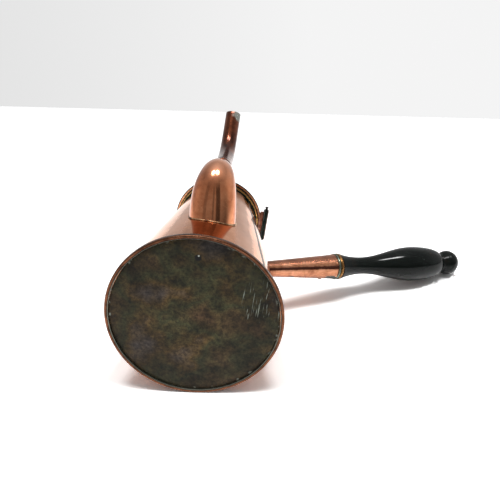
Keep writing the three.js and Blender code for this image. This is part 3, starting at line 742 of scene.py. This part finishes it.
# the body is polished too, but two duller, darker strips run down it beside the spout, and a thin dark line
# runs down it between spout and handle, where its sheet is lapped
BODY_COPPER = sheet_copper(
    "body_sheet_copper", "#cf8f6c", "#bb7852", "#8f5233",
    seams_and_dark_lines=(
        (down_body(-61), 0.13, "#a87d66", 0.6),
        (down_body(-114), 0.1, "#a87d66", 0.5),
        (down_body(-42), 0.03, "#24150e", 1.0),
    ),
    edge="#fceadb",
)
# tarnished copper on the small rims, rings and rivets: browner and duller
RIM_COPPER = sheet_copper("tarnished_copper", "#a8704f", "#845036", "#4f2d1e", rough=(0.16, 0.3), patch=14)
# drawn copper tube browned by heat and hands: dark red-brown, with tin left at the tip and a dark patch at the
# foot
TUBE_COPPER = sheet_copper(
    "browned_copper", "#83492f", "#66351f", "#3e1d10", rough=(0.2, 0.28), wave=0.12, patch=16,
    stains_and_sheen=(((6.5, -110, 202), 7, "#8d8f86", 1, 0), ((0, -83, 138), 5, "#2c130c", 1, 0.3)), coat=0.4,
)
# the socket is a rolled cone, and duller: browned on its spout side, with a dark line down the side that faces
# the base, a painted reflection of the dark room, and verdigris where it meets the collar
SOCKET_COPPER = sheet_copper(
    "socket_sheet_copper", "#cf9170", "#b47857", "#7d4a35",
    rough=(0.3, 0.36), wave=0.04, mark=0.0005, patch=12,
    stains_and_sheen=(((112.5, 9.2, 116.5), 6.5, "#1c2b27", 1, 0), ((76, 7, 102), 3, "#4b3024", 1, 0)),
    seams_and_dark_lines=((down_socket(-90), 0.8, "#7c4f40", 0.55), (down_socket(-24), 0.14, "#54241a", 0.9)),
    marked=(0.95, 0.2),
)
# rolled copper: grey solder at its bore, a dark ring in the corner that is dirt and painted shade, and brown,
# rubbed a little brighter on the roll
FOOT_COPPER = banded_metal(
    "foot_copper_with_dirt_and_painted_shade_in_its_corner", from_axis,
    [
        (61, "#8f9083"), (62.35, "#8f9083"), (62.7, "#2b211a"), (63.4, "#6e4430"), (64.2, "#84563d"),
        (65, "#5e3b29"), (66, "#3e261b"),
    ],
    (0.22, 0.4), 9,
)
# swaged copper: dark green verdigris in the groove, black painted shade under the lips and at the flange's
# edge, a golden painted highlight on the bead, and a bright painted highlight on the lid's flange
MOUTH_COPPER = banded_metal(
    "mouth_copper_with_verdigris_painted_shade_and_highlights", from_axis,
    [
        (37, "#b06a48"), (38.6, "#b06a48"), (38.9, "#2f4a3c"), (39.7, "#24382f"), (39.9, "#17150f"),
        (40.3, "#17150f"), (40.5, "#f0bc74"), (41.2, "#e8b46c"), (41.4, "#14110d"), (42.0, "#14110d"),
        (42.2, "#e8a478"), (43.6, "#f0ac80"), (43.8, "#17130f"), (45, "#17130f"),
    ],
    (0.2, 0.36),
)
# turned brass: pale verdigris on its small bead, dark in the groove, rubbed yellow on its big bead
COLLAR_BRASS = banded_metal(
    "collar_brass_with_verdigris", down_handle,
    [
        (123, "#232722"), (124.0, "#8e9b8c"), (125.4, "#6f7568"), (126.1, "#171612"), (127.0, "#8a6436"),
        (128.4, "#9a6c3c"), (130, "#3b2512"), (131, "#3b2512"),
    ],
    (0.2, 0.36),
)
# cast brass: the leaves are pinkish, partly rubbed metal and partly a painted reflection of the white floor,
# and nearly black round the pin
HINGE_BRASS = banded_metal(
    "hinge_brass_with_verdigris", outward,
    [
        (38, "#c99a84"), (45.4, "#b98b78"), (46.2, "#27302a"), (50.6, "#20251f"), (51.3, "#c08a78"),
        (54, "#c08a78"),
    ],
    (0.3, 0.5), 5,
)
# tin solder that has run and been wiped: a dull line with coppery and brown patches
TIN_SOLDER = plain_metal("tin_solder", "#d2ad86", "#5a4030", (0.3, 0.5), 5, 0.95, between=(0.44, 0.56))
# turned brass, rubbed: soft yellow with brown in its pits
OLD_BRASS = plain_metal("old_rubbed_brass", "#8d6c42", "#46331a", (0.22, 0.4), 3)
# forged iron, blackened: dark grey with hardly any shine
IRON = plain_metal("blackened_iron", "#4a453f", "#26221f", (0.45, 0.7), 2, 0.9)
BASE_PATINA = patinated_base("base_patina")
EBONISED_WOOD = turned_wood("ebonised_turned_wood")


# Finishing a piece


def finished(piece, body, material, slot, *nodes):
    """Gives a piece its material, its body and the CAD pieces that it stands for."""
    piece.data.materials.clear()
    piece.data.materials.append(material)
    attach(piece, body)
    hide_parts(*nodes)
    return piece


def refined(node, body, material, slot, width=0.25):
    """A small hard piece: the CAD piece's copy with its triangles merged and its edges softened."""
    take_up(frame["nodes"][node])
    bpy.ops.object.duplicate()
    piece = name_piece(node + "_softened")
    bpy.ops.object.parent_clear(type="CLEAR_KEEP_TRANSFORM")
    del piece["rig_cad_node"]
    edit()
    bpy.ops.mesh.select_all(action="SELECT")
    bpy.ops.mesh.remove_doubles(threshold=2e-6)
    bpy.ops.mesh.dissolve_limited(angle_limit=math.radians(1))
    bpy.ops.mesh.normals_make_consistent(inside=False)
    leave_edit()
    soften(piece, width, 32)
    smooth(piece, 32)
    return finished(piece, body, material, slot, node)


# The pot's body


def make_body():
    """The cone of sheet copper, pierced behind the spout."""
    low, high = BODY_BOTTOM, BODY_HEIGHT
    steps = 24
    levels = [low + (high - low) * i / steps for i in range(steps + 1)]
    outer = [[body_radius(z), z] for z in levels]
    inner = [[body_radius(z) - BODY_WALL, z] for z in reversed(levels)]
    wall = turned("body_sheet", [*outer, *inner], 192, ring=True)
    deselect()
    bpy.ops.mesh.primitive_cylinder_add(vertices=20, radius=STRAINER_HOLE_RADIUS * MM, depth=20 * MM)
    bar = name_piece("strainer_hole")
    place(bar, Matrix.Rotation(math.pi / 2, 4, "X"), STRAINER_AT)
    bars = [bar]
    for row in range(-2, 3):
        for column in range(-2, 3):
            x = STRAINER_PITCH * (column if row % 2 == 0 else column + 0.5)
            z = STRAINER_PITCH * math.sin(math.pi / 3) * row
            within = (x / STRAINER_HALF_WIDTH) ** 2 + (z / STRAINER_HALF_HEIGHT) ** 2 <= 1
            if (row, column) != (0, 0) and within:
                take_up(bar)
                bpy.ops.object.duplicate()
                bars.append(place(bpy.context.object, move=(x, 0, z)))
    take_up(bar)
    for one in bars:
        one.select_set(True)
    bpy.ops.object.join()
    cut(wall, bar)
    return smooth(wall)


finished(make_body(), "pot", BODY_COPPER, "copper", "body_wall")

shoulder = body_radius(FOOT_HEIGHT) + SOLDER_GAP
seat = body_radius(BODY_BOTTOM) + SOLDER_GAP
foot = turned(
    "foot_rim_rolled",
    [
        [FOOT_BORE + 0.25, 0],
        *arc([FOOT_RADIUS - 1, 1], [1, 1], -90, 0, 6),
        *arc([shoulder, FOOT_BELLY], [FOOT_RADIUS - shoulder, FOOT_HEIGHT - FOOT_BELLY], 0, 90, 10),
        [seat, BODY_BOTTOM],
        [seat, PLATE_TOP],
        [FOOT_BORE, PLATE_TOP],
        [FOOT_BORE, 0.25],
    ],
    192,
    ring=True,
)
finished(smooth(foot), "pot", FOOT_COPPER, "aged_copper", "foot_rim")

# flat in the middle, then rising in a soft step to the edge that is held in the rim
rise = [(t, PLATE_RISE * t * t * (3 - 2 * t)) for t in (0.2, 0.4, 0.6, 0.8, 1)]
plate = turned(
    "base_plate_dished",
    [
        [0, PLATE_LOW],
        *[[r, PLATE_LOW] for r in (8, 16, 24, PLATE_FLAT)],
        *[[PLATE_FLAT + (PLATE_KNEE - PLATE_FLAT) * t, PLATE_LOW + up] for t, up in rise],
        [PLATE_RADIUS - 0.4, PLATE_LOW + PLATE_RISE],
        [PLATE_RADIUS, PLATE_LOW + PLATE_RISE + 0.2],
        [PLATE_RADIUS, PLATE_TOP],
        [PLATE_KNEE, PLATE_TOP],
        [PLATE_FLAT, PLATE_LOW + 1.2],
        [0, PLATE_LOW + 1.2],
    ],
    160,
)
finished(smooth(plate), "pot", BASE_PATINA, "base_patina", "base_plate")

# a small lip below, a groove, and a bead that the lid's flange lies on
band = turned(
    "mouth_band_moulded",
    [
        [body_radius(BAND_LOW) + SOLDER_GAP, BAND_LOW],
        [body_radius(BAND_LOW) + 0.6, BAND_LOW],
        *arc([39.4, BAND_LOW + 1.1], [1.1, 1.0], -60, 60, 6),
        [40.1, BAND_LOW + 2.2],
        *arc([40.7, BODY_HEIGHT - 1.5], [1.3, 1.5], -90, 90, 10),
        [BODY_MOUTH + SOLDER_GAP, BODY_HEIGHT],
    ],
    160,
    ring=True,
)
finished(smooth(band), "pot", MOUTH_COPPER, "aged_copper", "mouth_band")

# The spout

NECK = bezier(HORN_LINE, 1)
NECK_WAY = bezier_direction(HORN_LINE, 1)
# the tube rises from the horn's neck and bends out to a straight tip
TUBE_LINE = (
    NECK, (0.1, -75.5, 140), (0.5, -74, 162), (0.7, -75, 184), (0.7, -76.5, 186), (0.6, -94, 194.3),
    (0.6, -110.5, 205),
)
# the joint band starts 1 mm down the horn
JOINT_START = NECK - NECK_WAY
JOINT_LINE = [JOINT_START + NECK_WAY * (JOINT_LENGTH * i / 3) for i in range(4)]


def horn_half_width(t):
    """Half the horn's width, from its root at 0 to its neck at 1. The powers follow the photo's outline."""
    return HORN_NECK + HORN_SPREAD * (1 - t**1.99) ** 1.556


def horn_half_depth(t):
    """Half its depth: it swells at the knee and a little where it is soldered on."""
    knee = KNEE_SWELL * math.exp(-(((t - KNEE_AT) / KNEE_LENGTH) ** 2)) * math.sqrt(1 - t)
    return HORN_NECK + HORN_BULGE * (1 - t**3.73) ** 2.4 + knee + ROOT_SWELL * (1 - t) ** 5


def tube_radius(t):
    """The tube narrows evenly to its tip."""
    return TUBE_FOOT - TUBE_TAPER * t


def joint_radius(t):
    """The joint band is a little fuller at its middle."""
    return JOINT_RADIUS + JOINT_SWELL * math.sin(math.pi * t)


def make_spout_seam():
    """Solder run round the spout's root: a band cut from a swollen horn and a layer over the body."""
    swollen = run_along(
        "spout_root_solder", HORN_LINE, lambda t: horn_half_width(t) + SOLDER_SWELL,
        lambda t: horn_half_depth(t) + SOLDER_SWELL, 30, 112,
    )
    hollow(swollen, 1.3)
    cut(swollen, body_cone(0.05))
    cut(swollen, body_cone(1.0), "INTERSECT")
    return melt(swollen)


horn = hollow(run_along("spout_horn_raised", HORN_LINE, horn_half_width, horn_half_depth, 44, 112), HORN_WALL)
cut(horn, body_cone(SOLDER_GAP))
finished(smooth(horn, 40), "pot", HORN_COPPER, "copper", "spout_horn")

tube = hollow(run_along("spout_tube_drawn", TUBE_LINE, tube_radius, tube_radius, 52, 80), TUBE_WALL)
finished(smooth(soften(tube, 0.2), 40), "pot", TUBE_COPPER, "copper", "spout_tube")

finished(make_spout_seam(), "pot", TIN_SOLDER, "solder", "spout_root_seam")

joint = hollow(run_along("spout_joint_band", JOINT_LINE, joint_radius, joint_radius, 8, 80), JOINT_WALL)
finished(smooth(soften(joint, 0.15), 40), "pot", RIM_COPPER, "aged_copper", "spout_joint_ring")

# The handle

socket_low = SOCKET_ROOT_AT - 10
socket = turned(
    "handle_socket_cone",
    [
        [socket_radius(socket_low), socket_low],
        *[[socket_radius(s), s] for s in (60, 75, 90, 105, 116)],
        [socket_radius(SOCKET_END) + 0.1, SOCKET_END - 0.4],
        [socket_radius(SOCKET_END) - 0.3, SOCKET_END],
        [socket_radius(SOCKET_END) - 1, SOCKET_END],
        [socket_radius(socket_low) - 1, socket_low],
    ],
    120,
    ring=True,
)
cut(on_handle(socket), body_cone(SOLDER_GAP))
finished(smooth(socket), "pot", SOCKET_COPPER, "copper", "handle_socket")


def make_handle_seam():
    """Solder run round the socket's root."""
    low, high = SOCKET_ROOT_AT - 10, SOCKET_ROOT_AT + 12
    solder = turned(
        "handle_root_solder",
        [
            [socket_radius(low) - 0.1, low],
            [socket_radius(low) + 1.6, low],
            [socket_radius(high) + 1.6, high],
            [socket_radius(high) - 0.1, high],
        ],
        96,
        ring=True,
    )
    cut(on_handle(solder), body_cone(0.05))
    cut(solder, body_cone(1.6), "INTERSECT")
    return melt(solder)


finished(make_handle_seam(), "pot", TIN_SOLDER, "solder", "handle_root_seam")

# a small bead against the socket, a groove and a bigger bead against the wood
collar = turned(
    "handle_collar_bead",
    [
        [10.3, SOCKET_END + 0.3],
        *arc([11.5, SOCKET_END + 1.3], [0.7, 0.9], -90, 90, 6),
        [11.3, SOCKET_END + 2.4],
        *arc([11.3, SOCKET_END + 4.1], [0.9, 1.6], -90, 90, 8),
        [10.3, SOCKET_END + 5.8],
    ],
    120,
    ring=True,
)
finished(smooth(on_handle(collar)), "pot", COLLAR_BRASS, "brass", "handle_collar")


def grip_radius(s):
    """The wooden grip's turned outline from its shoulder over its waist to the bulb's end."""
    if s < WAIST_AT:
        return WAIST_RADIUS + SHOULDER_FLARE * (1 - s / WAIST_AT) ** 2
    if s < BULB_AT:
        share = (1 - math.cos(math.pi * (s - WAIST_AT) / (BULB_AT - WAIST_AT))) / 2
        return WAIST_RADIUS + (BULB_RADIUS - WAIST_RADIUS) * share
    past = (s - BULB_AT) / (GRIP_LENGTH - BULB_AT)
    return BULB_END + (BULB_RADIUS - BULB_END) * math.sqrt(max(0, 1 - past**2))


def make_grip():
    """The handle's wood: tang, waist, bulb, bead and ball, turned in one piece."""
    close_to_end = [106, 108, 109.4, 110.1, 110.4, GRIP_LENGTH]
    steps = [-4.7, -4.5, -3, -1.5, *(GRIP_LENGTH * i / 60 for i in range(57)), *close_to_end]
    end = GRIP_AT + GRIP_LENGTH
    wood = turned(
        "handle_wood",
        [
            [0, TANG_END],
            [socket_radius(TANG_END) - TANG_INSET, TANG_END],
            [socket_radius(SOCKET_END) - TANG_INSET, SOCKET_END],
            [socket_radius(SOCKET_END) - TANG_INSET, SOCKET_END + 6],
            *[[grip_radius(s), GRIP_AT + s] for s in steps],
            [8.2, end + 0.2],
            [8.2, end + 1.2],
            *arc([8.4, end + 2.6], [1.2, 1.3], -90, 90, 8),
            [8.4, end + 4.5],
            *arc([0, end + 12.9], [BALL_RADIUS, BALL_HALF_LENGTH], -46, 90, 30),
        ],
        128,
    )
    return smooth(on_handle(wood), 40)


finished(make_grip(), "pot", EBONISED_WOOD, "ebonised_wood", "handle_grip")
refined("handle_nail", "pot", IRON, "iron")

# The lid

flange = turned(
    "lid_flange_flat",
    [
        [LID_BORE, FLANGE_LOW],
        *arc([FLANGE_RADIUS - FLANGE_EDGE, FLANGE_LOW + FLANGE_EDGE], 2 * [FLANGE_EDGE], -90, 90, 8),
        [LID_BORE, FLANGE_LOW + 2 * FLANGE_EDGE],
    ],
    160,
    ring=True,
)
finished(smooth(flange), "lid", MOUTH_COPPER, "aged_copper", "lid_flange")

bezel_out = LID_BORE + BEZEL_WALL
bezel = turned(
    "lid_bezel_ring",
    [[LID_BORE, BEZEL_LOW], [bezel_out, BEZEL_LOW], [bezel_out, BODY_HEIGHT], [LID_BORE, BODY_HEIGHT]],
    160,
    ring=True,
)
finished(smooth(soften(bezel, 0.25)), "lid", RIM_COPPER, "aged_copper", "lid_bezel")

# a short upright foot, the dome's curve, and a small flat top pierced for the stud
dome_in = DOME_RADIUS - DOME_WALL
dome_curve = arc([0, DOME_SPRING], [DOME_RADIUS, DOME_RISE], 0, 77.4, 28)
dome = turned(
    "lid_dome_raised",
    [
        [dome_in, DOME_LOW],
        [DOME_RADIUS, DOME_LOW],
        *dome_curve,
        [STUD_BORE, DOME_TOP],
        [STUD_BORE, DOME_TOP - DOME_WALL],
        *[[r * dome_in / DOME_RADIUS, z - DOME_WALL] for r, z in reversed(dome_curve[1:])],
    ],
    160,
    ring=True,
)
finished(smooth(dome), "lid", POLISHED_COPPER, "copper", "lid_dome")

washer = turned(
    "finial_washer_brass",
    [
        [STUD_BORE, DOME_TOP + 0.3],
        [7, DOME_TOP + 0.3],
        *arc([6.6, DOME_TOP + 1.1], [0.4, 0.5], -30, 60, 4),
        [4.9, DOME_TOP + 1.9],
        [STUD_BORE, DOME_TOP + 1.9],
    ],
    96,
    ring=True,
)
finished(smooth(washer), "lid", OLD_BRASS, "brass", "finial_washer")

# a bored foot, a thin neck and a flattened ball
knob = turned(
    "finial_knob_turned",
    [
        [0, 236.1],
        [STUD_BORE, 236.1],
        [STUD_BORE, DOME_TOP + 2.2],
        [4.6, DOME_TOP + 2.2],
        [4.2, DOME_TOP + 3.4],
        [3.9, DOME_TOP + 4.5],
        *arc([0, KNOB_AT], [KNOB_RADIUS, KNOB_HALF_HEIGHT], -60, 90, 26),
    ],
    96,
)
finished(smooth(knob, 40), "lid", EBONISED_WOOD, "ebonised_wood", "finial_knob")

for node, body, material, slot, width in (
    ("finial_stud", "lid", IRON, "iron", 0.2),
    ("finial_nut", "lid", IRON, "iron", 0.25),
    ("hinge_lower_leaf", "pot", HINGE_BRASS, "dark_brass", 0.2),
    ("hinge_upper_leaf", "lid", HINGE_BRASS, "dark_brass", 0.2),
    ("hinge_pin", "pot", IRON, "iron", 0.15),
    ("lid_rivet_1", "lid", RIM_COPPER, "aged_copper", 0.15),
    ("lid_rivet_2", "lid", RIM_COPPER, "aged_copper", 0.15),
):
    refined(node, body, material, slot, width)

# The room, camera and light


def in_room(right, away, up):
    """A point of the room in metres of the part's frame: the origin is on the floor under the base."""
    return (ROOM_RIGHT * right + ROOM_AWAY * away + ROOM_UP * (up - FLOOR_DROP)) * MM


def facing(way, up):
    """A turn whose -Z looks one way and whose Y is as near as can be to another."""
    back = -way.normalized()
    side = up.cross(back).normalized()
    return Matrix((side, back.cross(side), back)).transposed().to_4x4()


def make_camera():
    """The photograph's camera: before the base and above it, with the spout up and the handle to the right."""
    lens = bpy.data.cameras.new("camera")
    lens.sensor_width, lens.lens = CAMERA_SENSOR, CAMERA_LENS
    lens.clip_start, lens.clip_end = 0.01, 50
    camera = bpy.data.objects.new("camera", lens)
    bpy.context.scene.collection.objects.link(camera)
    camera.matrix_world = Matrix.Translation(CAMERA_AT * MM) @ facing(CAMERA_WAY, CAMERA_UP)
    bpy.context.scene.camera = camera


def seen_directly(tree):
    """One where the camera, a glossy surface or glass looks at a thing, nought for the light it gives."""
    light = add(tree, "ShaderNodeLightPath")
    seen = light.outputs["Is Camera Ray"]
    for ray in ("Is Glossy Ray", "Is Transmission Ray"):
        seen = add(tree, "ShaderNodeMath", {0: seen, 1: light.outputs[ray]}, operation="MAXIMUM").outputs[0]
    return seen


def make_floor():
    """A wide white floor under the lying pot. From behind it is clear, so that it hides nothing."""
    deselect()
    bpy.ops.mesh.primitive_plane_add(size=FLOOR_SIDE * MM)
    floor = name_piece("paper_floor")
    level = Matrix((ROOM_RIGHT, ROOM_AWAY, ROOM_UP)).transposed().to_4x4()
    turn = level @ Matrix.Rotation(FLOOR_EDGE_TURN, 4, "Z")
    place(floor, turn, in_room(0, FLOOR_END - FLOOR_SIDE / 2, 0) / MM)
    material, tree, surface, _ = start_material("white_paper")
    tree.nodes.remove(surface)
    # the paper lights the pot as a plain 0.8 white, and is seen as a white that the lamps bring to the full
    shade = add(
        tree, "ShaderNodeMix", {0: seen_directly(tree), 6: (0.8, 0.8, 0.8, 1), 7: (1.5, 1.5, 1.5, 1)},
        data_type="RGBA",
    )
    paper = add(tree, "ShaderNodeBsdfDiffuse", {"Color": shade.outputs[2]})
    clear = add(tree, "ShaderNodeBsdfTransparent")
    side = add(tree, "ShaderNodeNewGeometry")
    both = add(
        tree, "ShaderNodeMixShader",
        {0: side.outputs["Backfacing"], 1: paper.outputs[0], 2: clear.outputs[0]},
    )
    output = next(n for n in tree.nodes if n.type == "OUTPUT_MATERIAL")
    tree.links.new(both.outputs[0], output.inputs["Surface"])
    floor.data.materials.append(material)


def make_world():
    """The studio: a pale sheet hung behind the pot, a plain ceiling and a darker room behind the camera."""
    world = bpy.data.worlds.new("studio")
    bpy.context.scene.world = world
    world.use_nodes = True
    tree = world.node_tree
    tree.nodes.clear()
    way = add(tree, "ShaderNodeTexCoord").outputs["Generated"]
    rise, ahead, across = (
        add(tree, "ShaderNodeVectorMath", {0: way, 1: direction}, operation="DOT_PRODUCT").outputs["Value"]
        for direction in (ROOM_UP, ROOM_AWAY, ROOM_RIGHT)
    )
    # both shades of grey below go from straight down at 0 over the horizon at 0.5 to straight up at 1
    level = add(tree, "ShaderNodeMapRange", {"Value": rise, "From Min": -1, "From Max": 1})
    sheet = add(
        tree, "ShaderNodeValToRGB", {"Fac": level.outputs[0]},
        stops=[
            (0.0, 0.88), (0.462, 0.88), (0.49, 0.7), (0.6, 0.8), (0.7, 0.7), (0.82, 0.5), (0.9, 0.7),
            (1.0, 1.25),
        ],
    )
    room = add(
        tree, "ShaderNodeValToRGB", {"Fac": level.outputs[0]},
        stops=[
            (0.0, 0.3), (0.42, 0.14), (0.52, 0.12), (0.62, 0.26), (0.7, 0.38), (0.79, 0.4), (0.88, 0.36),
            (0.95, 0.5), (1.0, 1.25),
        ],
    )
    wall = add(
        tree, "ShaderNodeMapRange", {"Value": across, "From Min": -0.15, "From Max": -0.75},
        interpolation_type="SMOOTHSTEP",
    )
    # the room is an even grey to the left
    lit = add(
        tree, "ShaderNodeMix", {0: wall.outputs[0], 6: room.outputs[0], 7: (0.5, 0.5, 0.5, 1)},
        data_type="RGBA",
    ).outputs[2]
    # dark uprights behind the camera, which the horn mirrors as stripes: the angle from straight ahead,
    # half the width and the shade of each
    high = add(
        tree, "ShaderNodeMapRange", {"Value": rise, "From Min": 0.6, "From Max": 0.85},
        interpolation_type="SMOOTHSTEP",
    )
    for azimuth, width, shade in ((155, 0.13, 0.25), (178, 0.05, 0.5), (-142, 0.1, 0.65)):
        turn = math.radians(azimuth)
        sideways = ROOM_RIGHT * math.cos(turn) - ROOM_AWAY * math.sin(turn)
        off = add(tree, "ShaderNodeVectorMath", {0: way, 1: sideways}, operation="DOT_PRODUCT")
        far_off = add(tree, "ShaderNodeMath", {0: off.outputs["Value"]}, operation="ABSOLUTE")
        beside = add(
            tree, "ShaderNodeMapRange",
            {"Value": far_off.outputs[0], "From Min": width, "From Max": width * 1.5},
            interpolation_type="SMOOTHSTEP",
        )
        free = add(tree, "ShaderNodeMath", {0: beside.outputs[0], 1: high.outputs[0]}, operation="MAXIMUM")
        dark = add(tree, "ShaderNodeMapRange", {"Value": free.outputs[0], "To Min": shade, "To Max": 1})
        darker = {0: 1.0, 6: lit, 7: dark.outputs[0]}
        lit = add(tree, "ShaderNodeMix", darker, data_type="RGBA", blend_type="MULTIPLY").outputs[2]
    far = add(
        tree, "ShaderNodeMapRange", {"Value": ahead, "From Min": -0.52, "From Max": 0.02},
        interpolation_type="SMOOTHSTEP",
    )
    view = add(tree, "ShaderNodeMix", {0: far.outputs[0], 6: lit, 7: sheet.outputs[0]}, data_type="RGBA")
    # everything is a little darker to the left
    fall = add(
        tree, "ShaderNodeMapRange",
        {"Value": across, "From Min": -0.5, "From Max": 0.1, "To Min": 0.86, "To Max": 1.03},
    )
    darker = {0: 1.0, 6: view.outputs[2], 7: fall.outputs[0]}
    shaded = add(tree, "ShaderNodeMix", darker, data_type="RGBA", blend_type="MULTIPLY").outputs[2]
    strength = add(tree, "ShaderNodeMapRange", {"Value": seen_directly(tree), "To Min": 0.6, "To Max": 1})
    light = add(tree, "ShaderNodeBackground", {"Color": shaded, "Strength": strength.outputs[0]})
    add(tree, "ShaderNodeOutputWorld", {"Surface": light.outputs[0]})


def soft_box(name, right, away, power, aim=(40, 60, 60), spread=180):
    """A square studio lamp above the pot, facing it. A small spread stands for a honeycomb grid on it."""
    lamp = bpy.data.lights.new(name, "AREA")
    lamp.shape, lamp.size, lamp.energy = "SQUARE", LAMP_SIDE * MM, power
    lamp.spread = math.radians(spread)
    box = bpy.data.objects.new(name, lamp)
    bpy.context.scene.collection.objects.link(box)
    spot = in_room(right, away, LAMP_HEIGHT)
    box.matrix_world = Matrix.Translation(spot) @ facing(in_room(*aim) - spot, ROOM_AWAY)


bpy.context.scene.view_settings.view_transform = "Standard"
make_camera()
make_floor()
make_world()
soft_box("left_box", -210, -60, LAMP_POWER)
soft_box("right_box", 200, -60, LAMP_POWER)
# a weak one past the handle gives the black wood its streak, and its grid keeps its light off the copper
soft_box("handle_box", 830, 160, 0.065, aim=(262, 150, 30), spread=11)
